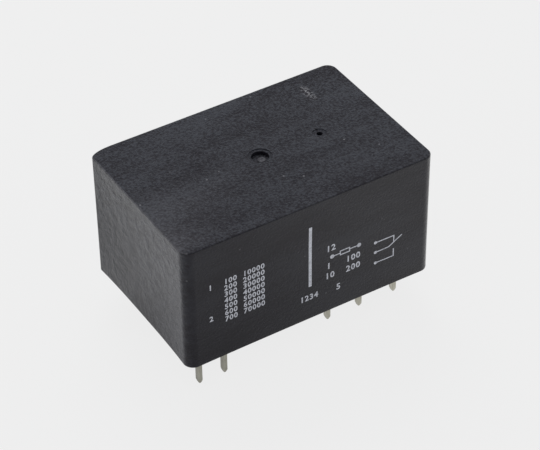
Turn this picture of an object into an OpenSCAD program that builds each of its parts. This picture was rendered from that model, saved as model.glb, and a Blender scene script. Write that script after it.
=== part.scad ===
// Two-pole changeover power relay for a printed circuit board, in a sealed moulded cover.
// Millimetres. The origin is the middle of the footprint, on the board.
// +X runs along the body to the contact end, +Y to the back row of pins, +Z up.
// The moving parts are worked out with the coil on, then turned back to rest with the coil off.

/* [Cover] */
// Length of the body
body_l = 52.3; // [47:0.1:58]
// Width of the body
body_w = 34.3; // [33:0.1:38]
// Height of the body above the board
body_h = 26.7; // [24:0.1:30]
// Side wall
wall = 1.2; // [0.9:0.05:1.3]
// Top wall
top_t = 1.5; // [1.3:0.05:1.8]
// Radius of the four upright corners
corner_r = 2; // [1.7:0.1:3]
// Radius of the edge round the top
edge_r = 0.45; // [0.2:0.05:0.7]
// Diameter of the blind gate well in the top
well_d = 3.3; // [2:0.1:5]
// Depth of the gate well
well_depth = 0.9; // [0.5:0.05:1]
// Width of the shallow step round the gate well
well_step = 0.6; // [0.2:0.05:0.8]
// Diameter of the gate stub left in the well
stub_d = 1.5; // [0.6:0.1:1.8]
// Height of the gate stub
stub_h = 0.5; // [0.2:0.05:0.5]
// Diameter of the vent hole
vent_d = 1.1; // [0.5:0.05:1.5]
// Width of the shallow step round the vent hole
vent_step = 0.8; // [0.4:0.05:1.2]
// Distance of the vent hole from the middle of the top
vent_x = 12.25; // [6:0.05:18]
// Distance of the gate well from the middle of the top
well_x = -0.5; // [-3:0.1:3]
// Distance of the gate well and the vent hole from the middle line of the top
vent_y = -0.4; // [-3:0.1:3]
// Depth of the two shallow steps
step_depth = 0.12; // [0.05:0.01:0.2]
// Depth of the four ribs inside that stop the base
rib_t = 0.7; // [0.4:0.05:0.9]
// Width of those ribs
rib_w = 1.2; // [0.8:0.1:1.6]

/* [Base] */
// Thickness of the base plate
base_t = 2.4; // [2:0.1:2.8]
// Gap under the base plate, filled with sealing resin
base_z = 0.6; // [0.4:0.05:0.8]
// How far the resin stays back from the rim
resin_back = 0.15; // [0.05:0.05:0.25]
// Play between the base plate and the cover
base_fit = 0.1; // [0.05:0.01:0.15]
// Radius of the stand-off pads under the base
pad_r = 1.1; // [0.7:0.1:1.4]
// Pads, from the ends of the cover's inside
pad_end = 2.4; // [2:0.1:3]
// Pads, from the sides of the cover's inside
pad_side = 7; // [6:0.1:8]
// Thickness of the two barriers on the base
barrier_t = 1.2; // [0.8:0.1:1.4]
// Space from the barriers to the cover's inside
barrier_end = 1; // [0.8:0.1:1.4]
// Space from the common strip to the barrier
barrier_gap = 1.8; // [1.5:0.1:2.2]
// Space from the barrier up to the carrier
barrier_drop = 2; // [1.6:0.1:3]

/* [Pins] */
// Length of the pins below the board face
pin_len = 6; // [3:0.1:8]
// Pin size along the body, also the thickness of the contact strips
pin_t = 0.8; // [0.6:0.05:0.9]
// Pin size across the body
pin_w = 1.2; // [0.8:0.05:1.3]
// Length of the chamfer at the tip of a pin
tip_l = 0.6; // [0.4:0.1:1]
// Depth of the chamfer at the tip of a pin
tip_in = 0.2; // [0.1:0.02:0.24]
// First coil pin, from the left end of the body
coil_pin_end = 3.15; // [3:0.05:3.4]
// Distance between the coil pins
coil_pitch = 5.25; // [4.7:0.05:5.6]
// Coil pins, from the front of the body
coil_pin_in = 2.2; // [2.15:0.05:2.4]
// Last contact pin, from the right end of the body
contact_pin_end = 5.5; // [5.2:0.05:5.8]
// Distance from the normally open pin to the normally closed pin
throw_pitch = 7.8; // [7.2:0.1:8.4]
// Distance from the common pin to the normally open pin
common_pitch = 7; // [6.4:0.1:7.6]
// Contact pins, from the side of the body
contact_pin_in = 4.15; // [4:0.05:4.4]
// Play between a pin and the moulding it passes through
pin_fit = 0.04; // [0.02:0.01:0.06]

/* [Yoke and core] */
// Thickness of the yoke
yoke_t = 2; // [1.6:0.1:2.2]
// Half width of the yoke
yoke_hw = 8; // [7.6:0.1:8.4]
// Radius of the bend outside
yoke_bend = 1.4; // [0.8:0.1:1.5]
// Space behind the yoke for the armature's tail and the spring
tail_room = 3.35; // [3.1:0.05:3.6]
// Width of the ears that guide the armature
ear_w = 2.8; // [2.2:0.1:3.2]
// Height of the ears above the armature
ear_up = 0.3; // [0.1:0.1:0.6]
// Half width of the lug that sits in the base
lug_hw = 3; // [2:0.1:4]
// Depth of the lug in the base
lug_d = 1.6; // [1:0.1:1.8]
// Play round the lug
lug_fit = 0.05; // [0.03:0.01:0.1]
// Width of the two staked feet
foot_w = 4; // [3.6:0.1:4.6]
// Middle of the feet, from the core
foot_run = 6.6; // [6.2:0.1:6.8]
// Edge of the feet, past their holes
foot_edge = 1.8; // [1.5:0.1:2.2]
// Radius of the moulded stakes through the feet
stake_r = 1; // [0.8:0.05:1.1]
// Radius of the stakes' heads
stake_head_r = 1.5; // [1.3:0.05:1.6]
// Height of the stakes' heads
stake_head_h = 0.6; // [0.4:0.05:0.8]
// Play round a stake
stake_fit = 0.05; // [0.03:0.01:0.1]
// Radius of the core, as a share of the bobbin flanges
core_share = 0.43; // [0.38:0.01:0.46]
// Radius of the core's staked tail
core_tail_r = 2.6; // [2:0.1:3]
// Play round the core, in the yoke and the bobbin
core_fit = 0.05; // [0.02:0.01:0.1]
// Edge of the pole head, past the core
pole_lip = 1.3; // [0.8:0.05:1.4]
// Thickness of the pole head
pole_t = 1.4; // [1.1:0.1:1.6]
// Space from the pole face up to the inside of the cover
pole_drop = 6.6; // [6.4:0.1:7]

/* [Bobbin and winding] */
// Gap between the bobbin and the steel next to it
bobbin_gap = 0.15; // [0.1:0.01:0.25]
// Gap between the coil and the barrier
coil_gap = 2.3; // [2.1:0.05:2.6]
// Thickness of the bobbin flanges
flange_t = 1.2; // [0.9:0.1:1.4]
// Wall of the bobbin tube
tube_t = 1; // [0.7:0.1:1.2]
// How far the winding stays inside the flanges
winding_in = 0.8; // [0.6:0.05:1]
// Thickness of the tape round the winding
tape_t = 0.25; // [0.15:0.05:0.3]
// Bare winding below the tape, where the leads come out
tape_low = 1.2; // [0.9:0.1:1.6]
// Bare winding above the tape
tape_high = 0.1; // [0.05:0.05:0.3]
// Height of the ledge that holds the coil pins
ledge_h = 5; // [4.2:0.1:5.4]
// End of the ledge, past the first coil pin
ledge_end = 1.3; // [1.2:0.05:1.4]
// Run of the ledge, past the second coil pin
ledge_run = 4.9; // [4.5:0.1:5.4]
// Back of the ledge, behind the coil pins
ledge_back = 1.05; // [0.8:0.05:1.3]
// Gap round the ledge
ledge_gap = 0.15; // [0.08:0.01:0.2]
// Width of the web from the flange to the ledge
web_w = 4; // [3:0.1:4.6]
// Depth of the web under the flange
web_in = 2.6; // [2.2:0.1:3]
// Height of the coil pins above the ledge
post_h = 1.9; // [1.7:0.1:2.4]
// Radius of the lead-out wires
lead_r = 0.14; // [0.1:0.01:0.16]

/* [Armature] */
// Thickness of the armature
arm_t = 1.8; // [1.5:0.1:2]
// Half width of the armature
arm_hw = 7; // [6.2:0.1:7.6]
// Angle of the armature at rest, with the coil off
open_deg = 2.8; // [2.4:0.1:3]
// Gap left under the armature when the coil is on
shim = 0.05; // [0.04:0.01:0.08]
// Play between the armature and the ears it rocks between
ear_fit = 0.2; // [0.18:0.01:0.3]
// Length of the tail behind the yoke
tail_l = 2.6; // [2.4:0.05:2.7]
// Half width of the tail
tail_hw = 2.4; // [1.8:0.1:3]
// Length of the armature's neck behind the yoke
neck_l = 0.6; // [0.4:0.05:0.8]
// Axis of the return spring, behind the yoke
spring_back = 1.6; // [1.5:0.05:1.7]
// Mean radius of the return spring
spring_r = 0.9; // [0.8:0.05:1]
// Radius of the spring wire
spring_wire = 0.18; // [0.14:0.01:0.2]
// Turns of the return spring
spring_turns = 11; // [8:1:12]
// Radius of the two holes for the spring's hooks
hook_r = 0.5; // [0.4:0.05:0.6]
// Height of the yoke's spring tab above the base
tab_up = 3; // [2.6:0.1:3.6]
// Thickness of the spring tab
tab_t = 1; // [0.8:0.1:1.2]
// Half width of the spring tab
tab_hw = 1.6; // [1.4:0.1:2]

/* [Carrier] */
// Length of the carrier
carrier_l = 6.4; // [6:0.1:6.5]
// Grip of the carrier on the armature
grip_l = 2.4; // [2:0.1:2.6]
// Lip of the carrier below the armature
lip_low = 0.65; // [0.5:0.05:0.8]
// Lip of the carrier above the armature
lip_up = 0.65; // [0.5:0.05:0.9]
// Wall of the carrier beside the armature and the blades
cheek = 0.5; // [0.4:0.05:0.8]
// Wall between the armature and the blades
bulkhead = 0.7; // [0.5:0.05:0.9]
// Width of the stiffening rib on the carrier
carrier_rib_w = 1.2; // [0.8:0.1:1.6]
// Height of the stiffening rib
carrier_rib_h = 0.7; // [0.3:0.05:0.9]
// Space from the carrier to the common strip
carrier_gap = 0.2; // [0.1:0.05:0.4]
// Play between the carrier and what it holds
carrier_fit = 0.02; // [0.01:0.01:0.04]

/* [Contacts] */
// Width of the contact strips and the blades
strip_w = 5.6; // [5:0.1:5.8]
// Middle of the strips, inwards from the pins
strip_in = 1.7; // [1.4:0.05:1.9]
// Inner radius of the bends in the strips
strip_bend = 0.5; // [0.3:0.05:0.8]
// Height of the common strip above the base
common_h = 9; // [8:0.1:9.4]
// Thickness of the moving blades
blade_t = 0.6; // [0.4:0.05:0.7]
// Blades, above the pole face with the coil on
blade_up = 0.6; // [0.5:0.05:0.7]
// Contacts, from the normally open pins
contact_run = 3.4; // [3.2:0.05:3.6]
// Strip past the middle of a contact
shelf_end = 2.7; // [2.5:0.05:2.8]
// Radius of the contact shanks
shank_r = 1; // [0.8:0.05:1.2]
// Radius of the lower heads of the moving contacts
head_low_r = 2.1; // [1.8:0.05:2.3]
// Height of the lower heads
head_low = 1; // [0.8:0.05:1.1]
// Radius of the upper heads of the moving contacts
head_up_r = 1.8; // [1.5:0.05:2]
// Height of the upper heads
head_up = 0.8; // [0.6:0.05:0.9]
// Radius of the domed contact faces
dome_r = 9; // [7:0.5:12]
// Radius of the normally open contacts
no_r = 2.3; // [2:0.05:2.5]
// Height of the normally open contacts
no_h = 1; // [0.8:0.05:1.2]
// Radius of the normally closed contacts
nc_r = 2; // [1.8:0.05:2.3]
// Height of the normally closed contacts
nc_h = 0.8; // [0.6:0.05:0.9]
// Step round the faces of the fixed contacts
face_step = 0.25; // [0.15:0.05:0.35]
// Radius of the upset tails of the fixed contacts
upset_r = 1.5; // [1.3:0.05:1.8]
// Height of the upset tails
upset_h = 0.4; // [0.3:0.05:0.5]
// Play round a contact shank
shank_fit = 0.01; // [0.01:0.01:0.03]
// Gap left between touching contacts
touch_gap = 0.04; // [0.03:0.01:0.06]
// Radius of the braided pigtails
braid_r = 0.8; // [0.6:0.05:0.9]
// Gap left where a pigtail or a lead lies on another piece
weld_gap = 0.03; // [0.02:0.01:0.05]

/* [Hidden] */
$fn = 64;
// Depth by which a cut runs past the face it opens
past = 1;

// Cover
hl = body_l / 2;
hw = body_w / 2;
in_l = hl - wall;
in_w = hw - wall;
in_top = body_h - top_t;
in_r = corner_r - wall;

// Base
base_top = base_z + base_t;
pad_x = in_l - pad_end;
pad_y = in_w - pad_side;

// Pins
coil_x1 = -hl + coil_pin_end;
coil_x2 = coil_x1 + coil_pitch;
coil_y = -hw + coil_pin_in;
nc_x = hl - contact_pin_end;
no_x = nc_x - throw_pitch;
com_x = no_x - common_pitch;
row_y = hw - contact_pin_in;

// Magnet: the coil fills the length between the yoke and the barrier
leg_x = -in_l + tail_room;
barrier_x = com_x - pin_t / 2 - barrier_gap - barrier_t;
coil_x0 = leg_x + yoke_t + bobbin_gap;
flange_r = (barrier_x - coil_gap - coil_x0) / 2;
core_x = coil_x0 + flange_r;
core_r = flange_r * core_share;
pole_r = core_r + pole_lip;
pole_z = in_top - pole_drop;
yoke_top = base_top + yoke_t;
bobbin_z = yoke_top + bobbin_gap;
bobbin_top = pole_z - pole_t;
winding_z = bobbin_z + flange_t;
winding_h = bobbin_top - bobbin_z - 2 * flange_t;
winding_r = flange_r - winding_in;
tube_r = core_r + core_fit + tube_t;
foot_x = core_x + foot_run;
foot_y = flange_r + bobbin_gap;
spring_x = leg_x - spring_back;
tab_z = base_top + tab_up;
ledge_x0 = coil_x1 - ledge_end;
ledge_x1 = coil_x2 + ledge_run;
ledge_y0 = -in_w + ledge_gap;
ledge_y1 = coil_y + pin_w / 2 + ledge_back;
ledge_top = base_top + ledge_h;

// Armature and carrier, with the coil on
arm_z = pole_z + shim;
carrier_end = com_x - pin_t / 2 - carrier_gap;
carrier_x = carrier_end - carrier_l;
arm_end = carrier_x + grip_l;
carrier_low = arm_z - lip_low;
carrier_top = arm_z + arm_t + lip_up;
neck_hw = yoke_hw - ear_w - ear_fit;
barrier_top = carrier_low - barrier_drop;

// Contacts, with the coil on
blade_y = row_y - strip_in;
blade_z = pole_z + blade_up;
blade_x = arm_end + bulkhead;
contact_x = no_x + contact_run;
no_face = blade_z - head_low - touch_gap;
no_shelf = no_face - no_h;
reach = contact_x - leg_x;
apex = blade_up + blade_t + head_up;
nc_face = pole_z + reach * sin(open_deg) + (apex - dome_r) * cos(open_deg) + dome_r + touch_gap;
nc_shelf = nc_face + nc_h;

// A point of the moving parts, turned back to rest
function at_rest(p) = [
  leg_x + (p[0] - leg_x) * cos(open_deg) - (p[2] - pole_z) * sin(open_deg),
  p[1],
  pole_z + (p[0] - leg_x) * sin(open_deg) + (p[2] - pole_z) * cos(open_deg)
];

// A smooth line through points, n steps to a stretch
function bend(a, b, c, d, t) = 0.5 * (
  2 * b + (c - a) * t + (2 * a - 5 * b + 4 * c - d) * t * t + (3 * b - a - 3 * c + d) * t * t * t
);
function smooth(p, n) = concat(
  [for (i = [0 : len(p) - 2], k = [0 : n - 1])
    bend(p[max(i - 1, 0)], p[i], p[i + 1], p[min(i + 2, len(p) - 1)], k / n)],
  [p[len(p) - 1]]
);

function unit(v) = v / norm(v);
function heading(p, i) = unit(p[min(i + 1, len(p) - 1)] - p[max(i - 1, 0)]);
function square_to(v, t) = unit(v - (v * t) * t);

// Round wire along points
module wire(p, r, sides, first) {
  n = len(p);
  side = [for (i = 0, v = square_to(first, heading(p, 0)); i < n;
    i = i + 1, v = i < n ? square_to(v, heading(p, i)) : v) v];
  pts = [for (i = [0 : n - 1], k = [0 : sides - 1])
    p[i] + r * (cos(k * 360 / sides) * side[i] + sin(k * 360 / sides) * cross(heading(p, i), side[i]))];
  skin = [for (i = [0 : n - 2], k = [0 : sides - 1])
    [i * sides + k, (i + 1) * sides + k, (i + 1) * sides + (k + 1) % sides, i * sides + (k + 1) % sides]];
  first_end = [for (k = [0 : sides - 1]) k];
  last_end = [for (k = [sides - 1 : -1 : 0]) (n - 1) * sides + k];
  polyhedron(pts, concat([first_end], skin, [last_end]));
}

module rounded_rect(l, w, r) {
  square([l, w - 2 * r], center = true);
  square([l - 2 * r, w], center = true);
  for (x = [-1, 1], y = [-1, 1]) {
    translate([x * (l / 2 - r), y * (w / 2 - r)]) circle(r);
  }
}

// Outline of an upright slab with rounded top corners
module soft_outline(l, h, r) {
  translate([-l / 2, 0]) square([l, h - r]);
  translate([-l / 2 + r, 0]) square([l - 2 * r, h]);
  for (x = [-1, 1]) {
    translate([x * (l / 2 - r), h - r]) circle(r);
  }
}

// Block with rounded upright corners and a rounded top edge
module soft_block(l, w, h, r, e) {
  translate([-(l / 2 - r), 0, 0]) rotate([90, 0, 90]) linear_extrude(l - 2 * r) soft_outline(w, h, e);
  translate([0, w / 2 - r, 0]) rotate([90, 0, 0]) linear_extrude(w - 2 * r) soft_outline(l, h, e);
  for (x = [-1, 1], y = [-1, 1]) {
    translate([x * (l / 2 - r), y * (w / 2 - r), 0]) {
      rotate_extrude() {
        intersection() {
          soft_outline(2 * r, h, e);
          square([r, h]);
        }
      }
    }
  }
}

module cover() {
  color("#2b2a2d") {
    difference() {
      soft_block(body_l, body_w, body_h, corner_r, edge_r);
      difference() {
        translate([0, 0, -past]) linear_extrude(in_top + past) rounded_rect(2 * in_l, 2 * in_w, in_r);
        for (x = [core_x, com_x + common_pitch / 2], y = [-1, 1]) {
          translate([x - rib_w / 2, y > 0 ? in_w - rib_t : -in_w - past, base_top]) {
            cube([rib_w, rib_t + past, body_h]);
          }
        }
      }
      translate([well_x, vent_y, 0]) {
        difference() {
          translate([0, 0, body_h - well_depth]) cylinder(d = well_d, h = well_depth + past);
          translate([0, -stub_d * 0.34, 0]) cylinder(d = stub_d, h = body_h - well_depth + stub_h);
        }
        translate([0, 0, body_h - step_depth]) cylinder(d = well_d + 2 * well_step, h = past);
      }
      translate([vent_x, vent_y, 0]) {
        translate([0, 0, body_h - step_depth]) cylinder(d = vent_d + 2 * vent_step, h = past);
        translate([0, 0, in_top - past]) cylinder(d = vent_d, h = top_t + 2 * past);
      }
    }
  }
}

// All pins, cut out of what they pass through
module pin_slots(play, z, h) {
  slot_t = pin_t + 2 * play;
  slot_w = pin_w + 2 * play;
  for (x = [coil_x1, coil_x2]) {
    translate([x - slot_t / 2, coil_y - slot_w / 2, z]) cube([slot_t, slot_w, h]);
  }
  for (x = [com_x, no_x, nc_x], y = [-row_y, row_y]) {
    translate([x - slot_t / 2, y - slot_w / 2, z]) cube([slot_t, slot_w, h]);
  }
}

// Round stand-off pads under the base, level with the cover's rim
module pads(z, h) {
  for (x = [-pad_x, pad_x], y = [-pad_y, pad_y]) {
    translate([x, y, z]) cylinder(r = pad_r, h = h);
  }
}

module base() {
  color("#1f2022") {
    difference() {
      union() {
        translate([0, 0, base_z]) {
          linear_extrude(base_t) rounded_rect(2 * (in_l - base_fit), 2 * (in_w - base_fit), in_r - base_fit);
        }
        pads(0, base_top);
        translate([barrier_x, -in_w + barrier_end, base_z]) {
          cube([barrier_t, 2 * (in_w - barrier_end), barrier_top - base_z]);
        }
        translate([barrier_x, -barrier_t / 2, base_z]) {
          cube([in_l - barrier_end - barrier_x, barrier_t, barrier_top - base_z]);
        }
        for (y = [-1, 1]) {
          translate([foot_x, y * foot_y, base_z]) cylinder(r = stake_r, h = yoke_top - base_z + stake_head_h);
          translate([foot_x, y * foot_y, yoke_top]) cylinder(r = stake_head_r, h = stake_head_h);
        }
      }
      pin_slots(pin_fit, -past, base_top + 2 * past);
      translate([leg_x - lug_fit, -lug_hw - lug_fit, base_top - lug_d - lug_fit]) {
        cube([yoke_t + 2 * lug_fit, 2 * (lug_hw + lug_fit), base_t]);
      }
    }
  }
}

module epoxy_seal() {
  color("#15171a") {
    difference() {
      translate([0, 0, resin_back]) linear_extrude(base_z - resin_back) rounded_rect(2 * in_l, 2 * in_w, in_r);
      pin_slots(0, -past, base_z + 2 * past);
      pads(-past, base_z + 2 * past);
    }
  }
}

// Outline of the bent yoke, seen from the front
module yoke_outline() {
  translate([leg_x + yoke_bend, base_top]) square([foot_x + foot_w / 2 - leg_x - yoke_bend, yoke_t]);
  translate([leg_x, base_top + yoke_bend]) square([yoke_t, pole_z - base_top - yoke_bend]);
  translate([leg_x + yoke_bend, base_top + yoke_bend]) circle(yoke_bend);
}

module yoke() {
  color("#9a9ca0") {
    difference() {
      union() {
        translate([0, yoke_hw, 0]) rotate([90, 0, 0]) linear_extrude(2 * yoke_hw) yoke_outline();
        translate([leg_x, -lug_hw, base_top - lug_d]) cube([yoke_t, 2 * lug_hw, lug_d + yoke_t]);
        translate([foot_x - foot_w / 2, -foot_y - foot_edge, base_top]) {
          cube([foot_w, 2 * (foot_y + foot_edge), yoke_t]);
        }
        for (y = [-yoke_hw, yoke_hw - ear_w]) {
          translate([leg_x, y, base_top + yoke_t]) cube([yoke_t, ear_w, arm_z + arm_t + ear_up - yoke_top]);
        }
        translate([leg_x - tail_l, -tab_hw, tab_z]) cube([tail_l + yoke_t, 2 * tab_hw, tab_t]);
      }
      translate([core_x, 0, 0]) cylinder(r = core_tail_r + core_fit, h = body_h);
      for (y = [-1, 1]) {
        translate([foot_x, y * foot_y, 0]) cylinder(r = stake_r + stake_fit, h = body_h);
      }
      translate([spring_x, 0, tab_z - past]) cylinder(r = hook_r, h = tab_t + 2 * past);
    }
  }
}

module core() {
  color("#b4b6ba") {
    translate([core_x, 0, base_top + core_fit]) cylinder(r = core_tail_r, h = yoke_t + pole_t);
    translate([core_x, 0, yoke_top]) cylinder(r = core_r, h = pole_z - yoke_top);
    translate([core_x, 0, bobbin_top]) cylinder(r = pole_r, h = pole_t);
  }
}

module bobbin() {
  color("#e6e0cf") {
    difference() {
      union() {
        translate([core_x, 0, bobbin_z]) cylinder(r = tube_r, h = bobbin_top - bobbin_z);
        translate([core_x, 0, bobbin_z]) cylinder(r = flange_r, h = flange_t);
        translate([core_x, 0, bobbin_top - flange_t]) cylinder(r = flange_r, h = flange_t);
        translate([ledge_x0, ledge_y0, base_top + bobbin_gap]) {
          cube([ledge_x1 - ledge_x0, ledge_y1 - ledge_y0, ledge_top - base_top - bobbin_gap]);
        }
        translate([ledge_x1 - web_w, ledge_y0, bobbin_z]) cube([web_w, web_in - flange_r - ledge_y0, flange_t]);
      }
      translate([core_x, 0, 0]) cylinder(r = core_r + core_fit, h = body_h);
      pin_slots(pin_fit, base_top - past, ledge_top);
    }
  }
}

module coil_winding() {
  color("#b5622c") {
    translate([core_x, 0, winding_z]) {
      difference() {
        cylinder(r = winding_r, h = winding_h);
        translate([0, 0, -past]) cylinder(r = tube_r, h = body_h);
      }
    }
  }
}

module coil_tape() {
  color("#d9b84a") {
    translate([core_x, 0, winding_z + tape_low]) {
      difference() {
        cylinder(r = winding_r + tape_t, h = winding_h - tape_low - tape_high);
        translate([0, 0, -past]) cylinder(r = winding_r, h = body_h);
      }
    }
  }
}

// A lead-out wire: from the winding at one angle, round a bend at another, then once round a coil pin
module lead(angle, bend_angle, out, x) {
  z = ledge_top + post_h * 0.35;
  a = pin_t / 2 + lead_r + weld_gap;
  b = pin_w / 2 + lead_r + weld_gap;
  r = winding_r + lead_r + weld_gap;
  rise = lead_r * 0.8;
  run = smooth([
    [core_x + r * cos(angle), r * sin(angle), winding_z + tape_low * 0.4],
    [core_x + out * flange_r * cos(bend_angle), out * flange_r * sin(bend_angle), ledge_top + lead_r],
    [x + 3 * a, coil_y + 2 * b, z],
    [x + a, coil_y + b, z]
  ], 4);
  turn = [
    [x, coil_y + b, z + rise * 0.5],
    [x - a, coil_y + b, z + rise],
    [x - a, coil_y, z + rise * 1.4],
    [x - a, coil_y - b, z + rise * 1.8],
    [x, coil_y - b, z + rise * 2.2],
    [x + a, coil_y - b, z + rise * 2.6],
    [x + a, coil_y, z + rise * 3],
    [x + a, coil_y + b, z + rise * 3.4],
    [x, coil_y + b, z + rise * 3.6]
  ];
  wire(concat(run, turn), lead_r, 6, [0, 0, 1]);
}

module coil_lead_start() {
  color("#b5622c") lead(215, 225, 1.4, coil_x1);
}

module coil_lead_finish() {
  color("#b5622c") lead(238, 240, 1.25, coil_x2);
}

// Outline of a pin with a chamfered tip
module pin_outline(w, top) {
  polygon([
    [tip_in - w / 2, -pin_len], [w / 2 - tip_in, -pin_len], [w / 2, tip_l - pin_len],
    [w / 2, top], [-w / 2, top], [-w / 2, tip_l - pin_len]
  ]);
}

// A pin from its tip up to a height
module pin(x, y, top) {
  translate([x, y, 0]) {
    intersection() {
      rotate([90, 0, 0]) linear_extrude(2 * pin_w, center = true) pin_outline(pin_t, top);
      rotate([90, 0, 90]) linear_extrude(2 * pin_t, center = true) pin_outline(pin_w, top);
    }
  }
}

module coil_pin_start() {
  color("#b9bab4") pin(coil_x1, coil_y, ledge_top + post_h);
}

module coil_pin_finish() {
  color("#b9bab4") pin(coil_x2, coil_y, ledge_top + post_h);
}

// Outline of a strip that stands up and then turns to the right
module bent_strip(h, l) {
  r = strip_bend;
  square([pin_t, h - r - pin_t]);
  translate([pin_t + r, h - pin_t]) square([l - pin_t - r, pin_t]);
  translate([pin_t + r, h - r - pin_t]) {
    intersection() {
      difference() {
        circle(r + pin_t);
        circle(r);
      }
      translate([-r - pin_t, 0]) square(r + pin_t);
    }
  }
}

module common_terminal(side) {
  color("#c98a4b") {
    pin(com_x, side * row_y, base_top + pin_t);
    translate([com_x - pin_t / 2, side * blade_y - strip_w / 2, base_top]) cube([pin_t, strip_w, common_h]);
  }
}

module no_terminal(side) {
  color("#c98a4b") {
    pin(no_x, side * row_y, base_top + pin_t);
    difference() {
      translate([no_x - pin_t / 2, side * blade_y + strip_w / 2, base_top]) {
        rotate([90, 0, 0]) {
          linear_extrude(strip_w) bent_strip(no_shelf - base_top, contact_run + shelf_end + pin_t / 2);
        }
      }
      translate([contact_x, side * blade_y, no_shelf - 2 * pin_t]) {
        cylinder(r = shank_r + shank_fit, h = 3 * pin_t);
      }
    }
  }
}

module nc_terminal(side) {
  color("#c98a4b") {
    pin(nc_x, side * row_y, base_top + pin_t);
    difference() {
      translate([nc_x + pin_t / 2, side * blade_y + strip_w / 2, base_top]) {
        mirror([1, 0, 0]) {
          rotate([90, 0, 0]) {
            linear_extrude(strip_w) {
              bent_strip(nc_shelf + pin_t - base_top, throw_pitch - contact_run + shelf_end + pin_t / 2);
            }
          }
        }
      }
      translate([contact_x, side * blade_y, nc_shelf - pin_t]) {
        cylinder(r = shank_r + shank_fit, h = 3 * pin_t);
      }
    }
  }
}

module front_common_terminal() {
  common_terminal(-1);
}

module front_no_terminal() {
  no_terminal(-1);
}

module front_nc_terminal() {
  nc_terminal(-1);
}

module back_common_terminal() {
  common_terminal(1);
}

module back_no_terminal() {
  no_terminal(1);
}

module back_nc_terminal() {
  nc_terminal(1);
}

// A fixed contact, face up, on a strip whose top is at zero
module fixed_contact(r, h) {
  cylinder(r = r, h = h - face_step);
  cylinder(r = r - face_step, h = h);
  translate([0, 0, -pin_t]) cylinder(r = shank_r, h = pin_t + h / 2);
  translate([0, 0, -pin_t - upset_h]) cylinder(r = upset_r, h = upset_h);
}

module no_contact(side) {
  color("#d6d3c8") translate([contact_x, side * blade_y, no_shelf]) fixed_contact(no_r, no_h);
}

module nc_contact(side) {
  color("#d6d3c8") {
    translate([contact_x, side * blade_y, nc_shelf]) mirror([0, 0, 1]) fixed_contact(nc_r, nc_h);
  }
}

module front_no_contact() {
  no_contact(-1);
}

module front_nc_contact() {
  nc_contact(-1);
}

module back_no_contact() {
  no_contact(1);
}

module back_nc_contact() {
  nc_contact(1);
}

// Turns the moving parts from the coil-on pose back to rest
module turn_to_rest() {
  translate([leg_x, 0, pole_z]) rotate([0, -open_deg, 0]) translate([-leg_x, 0, -pole_z]) children();
}

module armature() {
  color("#a6a8ac") {
    turn_to_rest() {
      difference() {
        union() {
          translate([leg_x + yoke_t + ear_fit, -arm_hw, arm_z]) {
            cube([arm_end - leg_x - yoke_t - ear_fit, 2 * arm_hw, arm_t]);
          }
          translate([leg_x - neck_l, -neck_hw, arm_z]) cube([neck_l + 2 * yoke_t, 2 * neck_hw, arm_t]);
          translate([leg_x - tail_l, -tail_hw, arm_z]) cube([tail_l + yoke_t, 2 * tail_hw, arm_t]);
        }
        translate([spring_x, 0, arm_z - past]) cylinder(r = hook_r, h = arm_t + 2 * past);
      }
    }
  }
}

module contact_carrier() {
  f = carrier_fit;
  reach_y = blade_y + strip_w / 2 + cheek;
  color("#3a3d42") {
    turn_to_rest() {
      difference() {
        union() {
          translate([carrier_x, -arm_hw - 2 * cheek, carrier_low]) {
            cube([carrier_l, 2 * arm_hw + 4 * cheek, carrier_top - carrier_low]);
          }
          translate([arm_end, -reach_y, carrier_low]) {
            cube([carrier_end - arm_end, 2 * reach_y, carrier_top - carrier_low]);
          }
          translate([blade_x, -reach_y, carrier_low]) {
            cube([carrier_rib_w, 2 * reach_y, carrier_top - carrier_low + carrier_rib_h]);
          }
        }
        translate([carrier_x - past, -arm_hw - f, arm_z - f]) {
          cube([grip_l + past + f, 2 * (arm_hw + f), arm_t + 2 * f]);
        }
        for (side = [-1, 1]) {
          translate([blade_x - f, side * blade_y - strip_w / 2 - f, blade_z - f]) {
            cube([carrier_end - blade_x + past, strip_w + 2 * f, blade_t + 2 * f]);
          }
        }
      }
    }
  }
}

module blade(side) {
  color("#cf8f52") {
    turn_to_rest() {
      difference() {
        translate([0, side * blade_y, blade_z]) {
          linear_extrude(blade_t) {
            translate([blade_x, -strip_w / 2]) square([contact_x - blade_x, strip_w]);
            translate([contact_x, 0]) circle(strip_w / 2);
          }
        }
        translate([contact_x, side * blade_y, blade_z - past]) {
          cylinder(r = shank_r + shank_fit, h = blade_t + 2 * past);
        }
      }
    }
  }
}

module front_blade() {
  blade(-1);
}

module back_blade() {
  blade(1);
}

module moving_contact(side) {
  color("#dcd9ce") {
    turn_to_rest() {
      translate([contact_x, side * blade_y, blade_z]) {
        intersection() {
          translate([0, 0, -head_low]) cylinder(r = head_low_r, h = head_low);
          translate([0, 0, dome_r - head_low]) sphere(dome_r);
        }
        translate([0, 0, -head_low / 4]) cylinder(r = shank_r, h = blade_t + head_low / 2);
        intersection() {
          translate([0, 0, blade_t]) cylinder(r = head_up_r, h = head_up);
          translate([0, 0, blade_t + head_up - dome_r]) sphere(dome_r);
        }
      }
    }
  }
}

module front_moving_contact() {
  moving_contact(-1);
}

module back_moving_contact() {
  moving_contact(1);
}

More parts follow.
